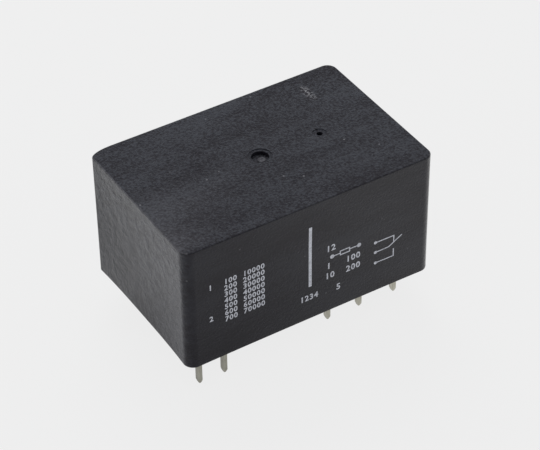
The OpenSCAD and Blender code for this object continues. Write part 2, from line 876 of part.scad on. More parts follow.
module return_spring() {
  s = spring_r;
  x = spring_x;
  low = tab_z + tab_t + 1.45 * s;
  high = pole_z - 1.75 * s;
  hook_low = tab_z - spring_wire - 4 * weld_gap;
  hook_high = arm_z + arm_t + spring_wire + 4 * weld_gap;
  turn = [for (i = [0 : spring_turns * 12])
    [x + s * cos(i * 30), s * sin(i * 30), low + (high - low) * i / (spring_turns * 12)]];
  foot = smooth([
    [x, 1.2 * s, hook_low],
    [x, 0.4 * s, hook_low],
    [x, 0, hook_low + 0.4 * s],
    [x, 0, tab_z + tab_t + 0.2 * s],
    [x + 0.3 * s, -0.4 * s, low - 0.5 * s]
  ], 3);
  head = smooth([
    [x + 0.3 * s, 0.4 * s, high + 0.5 * s],
    [x, 0, pole_z - 0.65 * s],
    [x, 0, hook_high - 0.4 * s],
    [x, 0.4 * s, hook_high],
    [x, 1.2 * s, hook_high]
  ], 3);
  color("#8f9298") wire(concat(foot, turn, head), spring_wire, 6, [1, 0, 0]);
}

// Braided pigtail from the common strip to the root of the blade
module pigtail(side) {
  r = braid_r;
  x = com_x + pin_t / 2 + r + weld_gap;
  y = side * blade_y;
  z = blade_z - r - weld_gap;
  h = z - base_top;
  color("#b8743c") {
    wire(smooth([
      [x, y, base_top + 0.21 * h],
      [x, y, base_top + 0.36 * h],
      [x + 0.1 * r, y, base_top + 0.49 * h],
      [x + 1.4 * r, y, base_top + 0.65 * h],
      [x + 3.1 * r, y, base_top + 0.8 * h],
      [x + 3.6 * r, y, base_top + 0.935 * h],
      at_rest([com_x + 4.4 * r, y, z - 0.94 * r]),
      at_rest([com_x + 3 * r, y, z]),
      at_rest([com_x + 1.75 * r, y, z]),
      at_rest([com_x + 0.25 * r, y, z])
    ], 3), r, 8, [0, 1, 0]);
  }
}

module front_pigtail() {
  pigtail(-1);
}

module back_pigtail() {
  pigtail(1);
}

cover();
base();
epoxy_seal();
yoke();
core();
bobbin();
coil_winding();
coil_tape();
coil_lead_start();
coil_lead_finish();
coil_pin_start();
coil_pin_finish();
front_common_terminal();
front_no_terminal();
front_nc_terminal();
back_common_terminal();
back_no_terminal();
back_nc_terminal();
front_no_contact();
front_nc_contact();
back_no_contact();
back_nc_contact();
armature();
contact_carrier();
front_blade();
back_blade();
front_moving_contact();
back_moving_contact();
return_spring();
front_pigtail();
back_pigtail();
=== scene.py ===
# %% [markdown]
# # A power relay for a circuit board
# The relay is a sealed black box with pins below it. Inside are a coil, a rocking armature and two sets of
# contacts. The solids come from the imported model, in metres, with the origin in the middle of the footprint
# on the board. This lesson gives every solid its finish, and remakes those whose real surface needs more
# than a plain solid has.

# %% Load the solids
import math

import bmesh
import bpy
from mathutils import Matrix, Vector


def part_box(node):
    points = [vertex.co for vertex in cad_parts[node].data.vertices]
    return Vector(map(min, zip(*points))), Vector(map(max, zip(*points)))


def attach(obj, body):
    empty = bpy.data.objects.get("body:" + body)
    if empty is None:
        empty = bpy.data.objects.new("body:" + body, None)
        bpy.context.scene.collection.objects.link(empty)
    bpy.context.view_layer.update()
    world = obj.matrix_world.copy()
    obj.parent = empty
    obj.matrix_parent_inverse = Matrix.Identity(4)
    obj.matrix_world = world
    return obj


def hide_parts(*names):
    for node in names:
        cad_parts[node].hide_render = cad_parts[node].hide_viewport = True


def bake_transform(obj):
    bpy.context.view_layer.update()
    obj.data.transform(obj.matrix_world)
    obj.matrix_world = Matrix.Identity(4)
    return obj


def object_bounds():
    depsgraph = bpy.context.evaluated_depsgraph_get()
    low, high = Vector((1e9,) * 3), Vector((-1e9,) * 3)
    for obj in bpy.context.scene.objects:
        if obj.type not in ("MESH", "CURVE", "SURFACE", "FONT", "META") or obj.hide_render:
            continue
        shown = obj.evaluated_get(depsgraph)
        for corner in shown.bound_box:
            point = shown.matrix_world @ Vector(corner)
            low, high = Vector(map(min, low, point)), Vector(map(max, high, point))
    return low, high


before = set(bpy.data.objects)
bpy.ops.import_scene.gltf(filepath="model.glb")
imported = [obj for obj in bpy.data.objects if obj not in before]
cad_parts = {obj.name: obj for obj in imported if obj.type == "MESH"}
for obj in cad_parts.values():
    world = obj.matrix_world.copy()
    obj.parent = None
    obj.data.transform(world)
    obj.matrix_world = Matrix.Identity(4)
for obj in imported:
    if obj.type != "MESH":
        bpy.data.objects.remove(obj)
cad_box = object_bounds()
MM = 0.001

# %% [markdown]
# ## The camera
# A long lens from the front left and above shows the top, the printed front and the left end. The place,
# the turn and the small roll were solved from the straight edges of the box, and are written as numbers.

# %% Camera, with lengths in millimetres
AZIMUTH, ELEVATION, ROLL = (math.radians(a) for a in (-31.514, 39.518, -0.791))
AIM_Z, DISTANCE, TO_RIGHT, DOWN = 13.35, 398.506, 1.422, 2.474
FOCAL_PIXELS, PICTURE_PIXELS, SENSOR = 2164.5, 540, 36
level_part = math.cos(ELEVATION)
back = Vector((math.sin(AZIMUTH) * level_part, -math.cos(AZIMUTH) * level_part, math.sin(ELEVATION)))
right = (-back).cross(Vector((0, 0, 1))).normalized()
up = right.cross(-back)
right, up = (
    math.cos(ROLL) * right + math.sin(ROLL) * up,
    math.cos(ROLL) * up - math.sin(ROLL) * right,
)
eye = Vector((0, 0, AIM_Z)) + back * DISTANCE + right * TO_RIGHT - up * DOWN
camera = bpy.data.objects.new("camera", bpy.data.cameras.new("camera"))
camera.matrix_world = Matrix.Translation(eye * MM) @ Matrix((right, up, back)).transposed().to_4x4()
camera.data.sensor_width = SENSOR
camera.data.lens = FOCAL_PIXELS * SENSOR / PICTURE_PIXELS
camera.data.clip_start = 0.01
bpy.context.scene.collection.objects.link(camera)
bpy.context.scene.camera = camera
print("camera", [round(v, 1) for v in eye], "mm, lens", round(camera.data.lens, 1), "mm")

# %% [markdown]
# ## Colours and nodes
# Colours are written as they look on a screen, and one function turns them into the linear values that the
# shader wants. One function adds a node of any kind, with its settings, its fixed values and its links.

# %% Helpers for materials
def colour(hex_code):
    parts = [int(hex_code[i : i + 2], 16) / 255 for i in (1, 3, 5)]
    return (*(c / 12.92 if c <= 0.04045 else ((c + 0.055) / 1.055) ** 2.4 for c in parts), 1)


def add(tree, kind, inputs=None, **settings):
    made = tree.nodes.new(kind)
    for name, value in settings.items():
        setattr(made, name, value)
    for name, value in (inputs or {}).items():
        if isinstance(value, bpy.types.NodeSocket):
            tree.links.new(value, made.inputs[name])
        else:
            made.inputs[name].default_value = value
    return made


def every(size_mm):
    # Texture scale at which a pattern repeats about once in this many millimetres
    return 1000 / size_mm


def start_finish(name):
    material = bpy.data.materials.new(name)
    material.use_nodes = True
    tree = material.node_tree
    return material, tree, tree.nodes["Principled BSDF"], add(tree, "ShaderNodeTexCoord").outputs["Object"]


print("black plastic in linear light:", [round(c, 4) for c in colour("#3c3b3f")])

# %% [markdown]
# ## Floor and light
# Black plastic shows mostly what it reflects, so the relay stands in a pale room, as in a light tent. Seen
# at a low angle, as the left end is here, it reflects more, so that side turns grey and the other two stay
# dark. The floor mostly shows its own grey to the camera, and keeps a part of the relay's shadow. In
# reflections it shows its true, shaded light at the front left, and turns to an even glow towards the
# right. So the front grows lighter to the right, and the corner beside the left end stays the darkest
# place. One soft lamp, high behind the relay and to the right, gives the light a direction. The room is a
# little darker in front, which draws a dark line along the front top edge.

# %% Floor
SHOWN_DIRECT, SHOWN_MIRRORED = 0.93, (0.0, 1.0)
BRIGHTER_TOWARDS, DIM_AT, BRIGHT_AT = (0.95, 0.3, 0), -55, 30
floor_z = cad_box[0][2]
# Matt pale board: an even grey without gloss
material, tree, shader, spot = start_finish("pale_table")
shader.inputs["Base Color"].default_value = colour("#EFEFEF")
shader.inputs["Roughness"].default_value = 0.9
glow = add(tree, "ShaderNodeEmission", {"Color": colour("#F0F0F0")})
path = add(tree, "ShaderNodeLightPath")
direct = add(
    tree, "ShaderNodeMath",
    {0: path.outputs["Is Camera Ray"], 1: path.outputs["Is Transmission Ray"]}, operation="MAXIMUM",
)
clear = add(tree, "ShaderNodeMath", {0: direct.outputs[0], 1: SHOWN_DIRECT}, operation="MULTIPLY")
across = add(tree, "ShaderNodeVectorMath", {0: spot, 1: BRIGHTER_TOWARDS}, operation="DOT_PRODUCT")
lit = add(
    tree, "ShaderNodeMapRange",
    {"Value": across.outputs["Value"], "From Min": DIM_AT * MM, "From Max": BRIGHT_AT * MM},
)
lit.inputs["To Min"].default_value, lit.inputs["To Max"].default_value = SHOWN_MIRRORED
mirrored = add(
    tree, "ShaderNodeMath", {0: path.outputs["Is Glossy Ray"], 1: lit.outputs[0]}, operation="MULTIPLY"
)
share = add(tree, "ShaderNodeMath", {0: clear.outputs[0], 1: mirrored.outputs[0]}, operation="MAXIMUM")
mixed = add(tree, "ShaderNodeMixShader", {0: share.outputs[0], 1: shader.outputs[0], 2: glow.outputs[0]})
tree.links.new(mixed.outputs[0], tree.nodes["Material Output"].inputs["Surface"])
bpy.ops.mesh.primitive_plane_add(size=6, location=(0, 0, floor_z))
floor = bpy.context.object
floor.name = "floor"
floor.data.materials.append(material)
print("floor at", round(floor_z / MM, 2), "mm")

# %% Room and lamp
ROOM_FRONT, ROOM_BACK, ROOM_TURN = 0.45, 0.62, 0.7
LAMP_SIZE, LAMP_WATTS, LAMP_AT = 0.5, 3.0, Vector((0.18, 0.5, 0.56))
world = bpy.data.worlds.new("light_tent")
world.use_nodes = True
sky = world.node_tree.nodes["Background"]
sky.inputs["Color"].default_value = colour("#F2F4F8")
outward = add(world.node_tree, "ShaderNodeTexCoord").outputs["Generated"]
side = add(world.node_tree, "ShaderNodeSeparateXYZ", {0: outward})
shade = add(
    world.node_tree, "ShaderNodeMapRange",
    {"Value": side.outputs["Y"], "From Min": -ROOM_TURN, "From Max": ROOM_TURN},
)
shade.inputs["To Min"].default_value, shade.inputs["To Max"].default_value = ROOM_FRONT, ROOM_BACK
world.node_tree.links.new(shade.outputs[0], sky.inputs["Strength"])
bpy.context.scene.world = world
bpy.context.scene.view_settings.view_transform = "Standard"
lamp = bpy.data.lights.new("softbox", "AREA")
lamp.size, lamp.energy = LAMP_SIZE, LAMP_WATTS
softbox = bpy.data.objects.new("softbox", lamp)
softbox.visible_glossy = False
softbox.matrix_world = Matrix.Translation(LAMP_AT) @ LAMP_AT.to_track_quat("Z", "Y").to_matrix().to_4x4()
bpy.context.scene.collection.objects.link(softbox)
print("room", ROOM_FRONT, "to", ROOM_BACK, "softbox", round(lamp.energy, 2), "W")

# %% [markdown]
# ## Black moulded polyester
# The cover is moulded from black glass-filled polyester. Its top is dull, with a gritty grain, faint flow
# streaks along the length, and pale specks where glass comes to the surface. The sides are glossier, and
# the ends have a leathery texture from the mould. A painted highlight lightens the edge round the top of
# each end, and the left end towards the front. Painted light lightens the floor of the gate well and its
# stub. The grain is drawn coarser than it is, so that it shows at this distance.

# %% Cover plastic: the patterns
# Black polyester from a mould: dark and slightly cold, gritty above and glossy at the sides
cover_plastic, tree, shader, spot = start_finish("black_moulded_polyester")
GRAIN, STREAKS, LEATHER = every(0.45), every(9), every(1.3)
SIDE_GRAIN, STREAK_WEIGHT = 0.35, 0.6
LEATHER_LOW, LEATHER_HIGH, LEATHER_LEAST = 8, 22, 0.6
grain = add(tree, "ShaderNodeTexNoise", {"Vector": spot, "Scale": GRAIN, "Detail": 3, "Roughness": 0.7})
flow = add(tree, "ShaderNodeMapping", {"Vector": spot, "Scale": (0.3, 1, 1)})
mottle = add(
    tree, "ShaderNodeTexNoise", {"Vector": flow.outputs[0], "Scale": STREAKS, "Detail": 7, "Roughness": 0.66}
)
leaning = add(
    tree, "ShaderNodeMapping", {"Vector": spot, "Rotation": (math.pi / 4, 0, 0), "Scale": (1, 1, 1.4)},
    vector_type="TEXTURE",
)
hide = add(
    tree, "ShaderNodeTexNoise", {"Vector": leaning.outputs[0], "Scale": LEATHER, "Detail": 2, "Roughness": 0.5}
)
facing = add(tree, "ShaderNodeSeparateXYZ", {0: spot.node.outputs["Normal"]})
on_ends = add(tree, "ShaderNodeMath", {0: facing.outputs["X"]}, operation="ABSOLUTE")
on_top = add(tree, "ShaderNodeMapRange", {"Value": facing.outputs["Z"], "From Min": 0.3, "From Max": 0.9})
coarse = add(tree, "ShaderNodeMapRange", {"Value": on_top.outputs[0], "To Min": SIDE_GRAIN, "To Max": 1})
where = add(tree, "ShaderNodeSeparateXYZ", {0: spot})
higher = add(
    tree, "ShaderNodeMapRange",
    {"Value": where.outputs["Z"], "From Min": LEATHER_LOW * MM, "From Max": LEATHER_HIGH * MM},
)
higher.inputs["To Min"].default_value, higher.inputs["To Max"].default_value = LEATHER_LEAST, 1.0
textured = add(tree, "ShaderNodeMath", {0: higher.outputs[0], 1: on_ends.outputs[0]}, operation="MULTIPLY")
pattern = None
for texture, weight in ((grain, coarse.outputs[0]), (hide, textured.outputs[0]), (mottle, STREAK_WEIGHT)):
    centred = add(tree, "ShaderNodeMath", {0: texture.outputs["Fac"], 1: 0.5}, operation="SUBTRACT")
    part = add(
        tree, "ShaderNodeMath", {0: centred.outputs[0], 1: weight, 2: 0.0}, operation="MULTIPLY_ADD"
    )
    if pattern:
        tree.links.new(pattern.outputs[0], part.inputs[2])
    pattern = part
print("grain, leather and streaks in", len(tree.nodes), "nodes")

# %% Cover plastic: colour and specks
END_TINT, SIDE_TINT, SWING = 0.6, 0.4, 0.1
SPECKS, SPECK_RARE, SPECK_OUT, SPECK_IN = every(1.5), 0.96, 0.16, 0.06
level = add(
    tree, "ShaderNodeMapRange", {"Value": pattern.outputs[0], "From Min": -SWING, "From Max": SWING}
)
tinted = add(tree, "ShaderNodeMath", {0: textured.outputs[0], 1: END_TINT}, operation="MULTIPLY")
at_least = add(tree, "ShaderNodeMath", {0: coarse.outputs[0], 1: SIDE_TINT}, operation="MAXIMUM")
shown = add(tree, "ShaderNodeMath", {0: at_least.outputs[0], 1: tinted.outputs[0]}, operation="MAXIMUM")
deep = add(tree, "ShaderNodeMath", {0: level.outputs[0], 1: shown.outputs[0]}, operation="MULTIPLY")
body = add(tree, "ShaderNodeValToRGB", {"Fac": deep.outputs[0]})
body.color_ramp.elements[0].color = colour("#15111a")
body.color_ramp.elements[1].color = colour("#3a3c43")

speck = add(tree, "ShaderNodeTexVoronoi", {"Vector": spot, "Scale": SPECKS})
lucky = add(tree, "ShaderNodeSeparateColor", {0: speck.outputs["Color"]})
rare = add(tree, "ShaderNodeMath", {0: lucky.outputs[0], 1: SPECK_RARE}, operation="GREATER_THAN")
small = add(
    tree, "ShaderNodeMapRange",
    {"Value": speck.outputs["Distance"], "From Min": SPECK_OUT, "From Max": SPECK_IN},
)
sown = add(tree, "ShaderNodeMath", {0: rare.outputs[0], 1: coarse.outputs[0]}, operation="MULTIPLY")
fleck = add(tree, "ShaderNodeMath", {0: sown.outputs[0], 1: small.outputs[0]}, operation="MULTIPLY")
flecked = add(
    tree, "ShaderNodeMix", {0: fleck.outputs[0], 6: body.outputs[0], 7: colour("#808084")}, data_type="RGBA"
)
print("with colour and specks", len(tree.nodes), "nodes")

# %% Cover plastic: painted highlights and painted light, and a pale scuff on the top near the back right corner
SCUFF_AT, SCUFF_TURN, SCUFF_SIZE = (-17.2 * MM, -11.1 * MM, -26.7 * MM), -0.5, (900, 330, 40)
# Painted highlights and painted light: a pale grey is mixed in where the cover's points carry this mark,
# broken up by the grain
painted_light = add(tree, "ShaderNodeAttribute", attribute_name="painted_light")
painted_light_amount = add(
    tree, "ShaderNodeMath", {0: painted_light.outputs["Fac"], 1: grain.outputs["Fac"]}, operation="MULTIPLY"
)
with_painted_light = add(
    tree, "ShaderNodeMix", {0: painted_light_amount.outputs[0], 6: flecked.outputs[2], 7: colour("#77767b")}, data_type="RGBA"
)
near = add(tree, "ShaderNodeMapping", {"Vector": spot, "Location": SCUFF_AT}, vector_type="POINT")
turned = add(
    tree, "ShaderNodeMapping",
    {"Vector": near.outputs[0], "Rotation": (0, 0, SCUFF_TURN), "Scale": SCUFF_SIZE},
)
far = add(tree, "ShaderNodeVectorMath", {0: turned.outputs[0]}, operation="LENGTH")
patch = add(tree, "ShaderNodeMapRange", {"Value": far.outputs["Value"], "From Min": 1, "From Max": 0.1})
broken = add(tree, "ShaderNodeMapRange", {"Value": grain.outputs["Fac"], "From Min": 0.46, "From Max": 0.6})
scuff = add(tree, "ShaderNodeMath", {0: patch.outputs[0], 1: broken.outputs[0]}, operation="MULTIPLY")
final = add(
    tree, "ShaderNodeMix", {0: scuff.outputs[0], 6: with_painted_light.outputs[2], 7: colour("#a09fa2")}, data_type="RGBA"
)
tree.links.new(final.outputs[2], shader.inputs["Base Color"])
print("with wear", len(tree.nodes), "nodes")

# %% Cover plastic: gloss and relief
SIDE_DULL, TOP_DULL, PATTERN_DULL, RELIEF = 0.12, 0.36, -0.3, 0.25
gloss = add(
    tree, "ShaderNodeMapRange", {"Value": on_top.outputs[0], "To Min": SIDE_DULL, "To Max": TOP_DULL}
)
dull = add(
    tree, "ShaderNodeMath",
    {0: pattern.outputs[0], 1: PATTERN_DULL, 2: gloss.outputs[0]}, operation="MULTIPLY_ADD",
)
tree.links.new(dull.outputs[0], shader.inputs["Roughness"])
shader.inputs["IOR"].default_value = 1.39
bump = add(
    tree, "ShaderNodeBump", {"Height": pattern.outputs[0], "Strength": 1.0, "Distance": RELIEF * MM}
)
tree.links.new(bump.outputs[0], shader.inputs["Normal"])
print("made", cover_plastic.name)

# %% [markdown]
# ## The cover
# The real cover is one moulding: a box open below, with rounded corners, a tight edge round the top, a gate
# well where the plastic was let in, and a small vent hole. The back left corner is wider than the others,
# and the cooling plastic drew the walls in a little. A boolean of boxes would leave long thin faces that
# shade badly. Here the wall is one stack of rounded-rectangle rings, all with the same number of points, so
# it is a clean grid of quads. Two flat caps close it, each filled round its holes, and a narrow ring beside
# each bend keeps the flat faces flat.

# %% Cover sizes, in millimetres
(low, high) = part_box("cover")
LENGTH, WIDTH, HEIGHT = ((high[i] - low[i]) / MM for i in range(3))
WALL, TOP, CORNER, EDGE = 1.2, 1.5, 2.0, 0.25
CEILING = HEIGHT - TOP
BACK_LEFT, BACK_LEFT_REACH = 1, Vector((4.5, 1.6))
END_SINK, SIDE_SINK, BOW, CROWN = 0.3, 0.12, 4, 0.1
SIDE_POINTS, ARC_STEPS, BESIDE_BEND = 15, 12, 0.15
print("cover", [round(v, 2) for v in (LENGTH, WIDTH, HEIGHT)], "mm")


# %% Rings and skins
def sunk(depth, along, z):
    # How far a wall is drawn in, at a place along it from -1 to 1: most at its middle, half-way up
    up = z / HEIGHT
    return depth * (1 - up**3 + BOW * up * (1 - up)) * (1 - abs(along) ** 3) + CROWN * up * (1 - up)


def box_ring(mesh, inset, z, radius, drawn_in=False):
    half = Vector((LENGTH / 2 - inset, WIDTH / 2 - inset))
    reach = [Vector((radius, radius)) for _ in range(4)]
    if drawn_in:
        reach[BACK_LEFT] = BACK_LEFT_REACH - Vector((inset, inset))
    arcs = []
    for turn, (sx, sy) in enumerate(((1, 1), (-1, 1), (-1, -1), (1, -1))):
        centre = Vector((sx * (half.x - reach[turn].x), sy * (half.y - reach[turn].y)))
        angles = [math.radians(90 * (turn + k / ARC_STEPS)) for k in range(ARC_STEPS + 1)]
        arcs.append([(centre + reach[turn] * Vector((math.cos(a), math.sin(a))), a, 1, 0) for a in angles])
    points = []
    for turn, arc in enumerate(arcs):
        points += arc
        start, facing = arc[-1][:2]
        run = arcs[(turn + 1) % 4][0][0] - start
        margin, depth = BESIDE_BEND / run.length, (SIDE_SINK, END_SINK)[turn % 2]
        steps = [margin, *((k + 1) / (SIDE_POINTS + 1) for k in range(SIDE_POINTS)), 1 - margin]
        points += [(start + run * step, facing, 2 * step - 1, depth) for step in steps]
    ring = []
    for point, a, along, depth in points:
        spot = point - drawn_in * sunk(depth, along, z) * Vector((math.cos(a), math.sin(a)))
        ring.append(mesh.verts.new((spot.x * MM, spot.y * MM, z * MM)))
    return ring


def round_ring(mesh, centre, radius, z, count=48):
    ring = []
    for a in (2 * math.pi * k / count for k in range(count)):
        x, y = centre[0] + radius * math.cos(a), centre[1] + radius * math.sin(a)
        ring.append(mesh.verts.new((x * MM, y * MM, z * MM)))
    return ring


def skin(mesh, rings):
    for lower, upper in zip(rings, rings[1:]):
        for k in range(len(lower)):
            j = (k + 1) % len(lower)
            mesh.faces.new((lower[k], lower[j], upper[j], upper[k]))


def cap(mesh, loops):
    pairs = [pair for loop in loops for pair in zip(loop, loop[1:] + loop[:1])]
    edges = [mesh.edges.get(pair) for pair in pairs]
    bmesh.ops.triangle_fill(mesh, edges=edges, use_beauty=True, use_dissolve=False)


print("a wall is drawn in by up to", round(sunk(END_SINK, 0, HEIGHT / 2), 2), "mm")

# %% Walls of the cover, with painted highlights and painted light written on their points
INSIDE = (
    (0.25, CEILING, 0.25), (0, CEILING, 0), (0, CEILING - 0.3, 0),
    (0, 0.4, 0), (-0.1, 0.02, 0), (-0.22, 0, 0),
)
RIM = ((0.2, 0), (0.08, 0.02), (0.02, 0.08), (0, 0.2))
LEVELS = (0.6, 2, 4, 7, 10, 13, 16, 19, 22, 24.5, HEIGHT - EDGE - 0.25)
EDGE_STEPS = 6
# A painted highlight on the left end: where it starts, how far it grows, how strong it gets, how fast it fades
# round the corner
PAINTED_HIGHLIGHT_FROM, PAINTED_HIGHLIGHT_OVER, PAINTED_HIGHLIGHT_MOST, PAINTED_HIGHLIGHT_FADE = 4, 20, 0.62, 0.8
cover_mesh = bmesh.new()
painted_light_mark = cover_mesh.verts.layers.float.new("painted_light")
rings = [box_ring(cover_mesh, WALL + inset, z, CORNER - WALL - tighter) for inset, z, tighter in INSIDE]
for inset, z in (*RIM, *((0, z) for z in LEVELS)):
    rings.append(box_ring(cover_mesh, inset, z, CORNER - inset, drawn_in=True))
for a in (math.pi / 2 * k / EDGE_STEPS for k in range(EDGE_STEPS + 1)):
    inset = EDGE * (1 - math.cos(a))
    z = HEIGHT - EDGE + EDGE * math.sin(a)
    rings.append(box_ring(cover_mesh, inset, z, CORNER - inset, drawn_in=True))
    # A painted highlight along the rounded top edge of each end, strongest half-way round the bend
    for vert in rings[-1]:
        at_end = abs(vert.co.x) > (LENGTH / 2 - CORNER / 2) * MM
        vert[painted_light_mark] = at_end * math.sin(2 * a)
rings.append(box_ring(cover_mesh, EDGE + 0.2, HEIGHT, CORNER - EDGE - 0.2, drawn_in=True))
# A painted highlight on the left end: lighter towards the front, fading out round the front corner
for vert in (v for ring in rings for v in ring if v.co.x < (CORNER / 2 - LENGTH / 2) * MM):
    ahead = min(max((PAINTED_HIGHLIGHT_FROM - vert.co.y / MM) / PAINTED_HIGHLIGHT_OVER, 0), 1)
    past_flat = max(abs(vert.co.y) / MM - WIDTH / 2 + CORNER, 0)
    painted_highlight = PAINTED_HIGHLIGHT_MOST * ahead * max(1 - past_flat / PAINTED_HIGHLIGHT_FADE, 0)
    vert[painted_light_mark] = max(vert[painted_light_mark], painted_highlight)
skin(cover_mesh, rings)
print("rings:", len(rings), "points in each:", len(rings[0]))

# %% Gate well and vent hole
WELL_AT, WELL_R, WELL_DEEP, WELL_STEP = (-0.5, -0.4), 1.65, 0.9, 0.6
STUB_AT, STUB_R, STUB_HIGH = (-0.5, -0.91), 0.75, 0.5
# Painted light: how much paler the floor of the well and the stub are drawn
FLOOR_PAINTED_LIGHT, STUB_PAINTED_LIGHT = 0.22, 0.85
VENT_AT, VENT_R, VENT_STEP, VENT_POINTS = (12.25, -0.4), 0.55, 0.8, 32
STEP_DEEP = 0.12
STEP_EDGE = ((0.12, 0), (0.03, 0), (0, 0.03), (0, STEP_DEEP))
HOLE_EDGE = ((0.05, STEP_DEEP), (0, STEP_DEEP + 0.05))
well = [round_ring(cover_mesh, WELL_AT, WELL_R + WELL_STEP + r, HEIGHT - d) for r, d in STEP_EDGE]
well += [round_ring(cover_mesh, WELL_AT, WELL_R + r, HEIGHT - d) for r, d in (*HOLE_EDGE, (0, WELL_DEEP))]
well_floor = [
    round_ring(cover_mesh, WELL_AT, WELL_R - 0.05, HEIGHT - WELL_DEEP),
    round_ring(cover_mesh, STUB_AT, STUB_R, HEIGHT - WELL_DEEP),
]
stub = [
    round_ring(cover_mesh, STUB_AT, STUB_R - r, HEIGHT - WELL_DEEP + STUB_HIGH - d)
    for r, d in ((0, 0.08), (0.08, 0), (0.35, 0.06), (0.5, 0.18))
]
# Painted light on the floor of the well and on the stub, drawn paler than the rest
for painted_light_rings, pale in ((well_floor, FLOOR_PAINTED_LIGHT), (stub, STUB_PAINTED_LIGHT)):
    for vert in (v for ring in painted_light_rings for v in ring):
        vert[painted_light_mark] = pale
skin(cover_mesh, well + well_floor + stub)
cover_mesh.faces.new(stub[-1])
vent_edge = (*((VENT_STEP + r, d) for r, d in STEP_EDGE), *HOLE_EDGE, (0, TOP))
vent = [round_ring(cover_mesh, VENT_AT, VENT_R + r, HEIGHT - d, VENT_POINTS) for r, d in vent_edge]
skin(cover_mesh, vent)
cap(cover_mesh, (rings[-1], well[0], vent[0]))
cap(cover_mesh, (rings[0], vent[-1]))
bmesh.ops.recalc_face_normals(cover_mesh, faces=cover_mesh.faces)
print("faces with well and vent:", len(cover_mesh.faces))

# %% Ribs inside the cover
RIB_DEEP, RIB_WIDE, RIBS_X, RIB_FROM, IN_WALL = 0.7, 1.2, (-9.65, 9.35), 3, 0.1
for x in RIBS_X:
    for hand in (-1, 1):
        rib = bmesh.ops.create_cube(cover_mesh, size=1)["verts"]
        y = hand * (WIDTH / 2 - WALL - RIB_DEEP / 2 + IN_WALL / 2)
        rib_size = Vector((RIB_WIDE, RIB_DEEP + IN_WALL, CEILING + IN_WALL - RIB_FROM)) * MM
        centre = Vector((x, y, (CEILING + IN_WALL + RIB_FROM) / 2)) * MM
        placing = Matrix.Translation(centre) @ Matrix.Diagonal((*rib_size, 1))
        bmesh.ops.transform(cover_mesh, matrix=placing, verts=rib)
print("faces with ribs:", len(cover_mesh.faces))


# %% Finish the cover as an object
def as_piece(mesh, name, finish, sharp_deg=35):
    data = bpy.data.meshes.new(name)
    mesh.to_mesh(data)
    mesh.free()
    data.materials.append(finish)
    data.shade_smooth()
    data.set_sharp_from_angle(angle=math.radians(sharp_deg))
    piece = bpy.data.objects.new(name, data)
    bpy.context.scene.collection.objects.link(piece)
    print(name, len(data.polygons), "faces")
    return piece


cover = as_piece(cover_mesh, "cover_moulding", cover_plastic)
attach(cover, "frame")
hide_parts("cover")

# %% [markdown]
# ## The printed marks
# Relays carry pale printed marks on one side: a dividing bar, the circuit symbols of the coil and of the
# changeover contact, and rows of numbers. The ink is a film a few hundredths of a millimetre thick. It
# could be painted in the material, but real flat shapes stay sharp at any distance, so they are meshes that
# lie on the front face.

# %% Ink
# Pad-printed ink: matt, off-white and a little cloudy where the film is thin
ink, tree, shader, spot = start_finish("pale_printing_ink")
thin = add(tree, "ShaderNodeTexNoise", {"Vector": spot, "Scale": every(0.35), "Detail": 3})
pale = add(tree, "ShaderNodeValToRGB", {"Fac": thin.outputs["Fac"]})
pale.color_ramp.elements[0].position, pale.color_ramp.elements[1].position = 0.25, 0.55
pale.color_ramp.elements[0].color = colour("#c2c3cb")
pale.color_ramp.elements[1].color = colour("#eceef5")
tree.links.new(pale.outputs[0], shader.inputs["Base Color"])
shader.inputs["Roughness"].default_value = 0.6
print("made", ink.name)

# %% Strokes, dots and numbers on the front face
INK_THICK, DOT_POINTS, DIGIT_SHARE = 0.02, 20, 0.73
print_mesh = bmesh.new()


def on_front(x, z, thick):
    # A place on the front face, raised by the ink's thickness
    wall = sunk(SIDE_SINK, x / (LENGTH / 2 - CORNER), z) - WIDTH / 2
    return (x * MM, (wall - thick) * MM, z * MM)


def flat_shape(points):
    lower = [print_mesh.verts.new(on_front(x, z, 0)) for x, z in points]
    upper = [print_mesh.verts.new(on_front(x, z, INK_THICK)) for x, z in points]
    print_mesh.faces.new(upper)
    skin(print_mesh, (lower, upper))


def stroke(a, b, width):
    a, b = Vector(a), Vector(b)
    side = (b - a).orthogonal().normalized() * width / 2
    flat_shape((a + side, b + side, b - side, a - side))


def dot(centre, radius):
    turns = [2 * math.pi * k / DOT_POINTS for k in range(DOT_POINTS)]
    flat_shape([(centre[0] + radius * math.cos(a), centre[1] + radius * math.sin(a)) for a in turns])


def number(text, left, middle, height):
    curve = bpy.data.curves.new("number", "FONT")
    curve.body, curve.size, curve.resolution_u = text, height / DIGIT_SHARE, 2
    curve.space_character, curve.offset = 1.12, 0.035 * height
    writing = bpy.data.objects.new("number", curve)
    bpy.context.scene.collection.objects.link(writing)
    bpy.context.view_layer.update()
    flat = bpy.data.meshes.new_from_object(writing.evaluated_get(bpy.context.evaluated_depsgraph_get()))
    bpy.data.objects.remove(writing)
    for vert in flat.vertices:
        vert.co = on_front(left + vert.co.x, middle - height / 2 + vert.co.y, INK_THICK)
    print_mesh.from_mesh(flat)
    bpy.data.meshes.remove(flat)


print("ink film", INK_THICK, "mm")

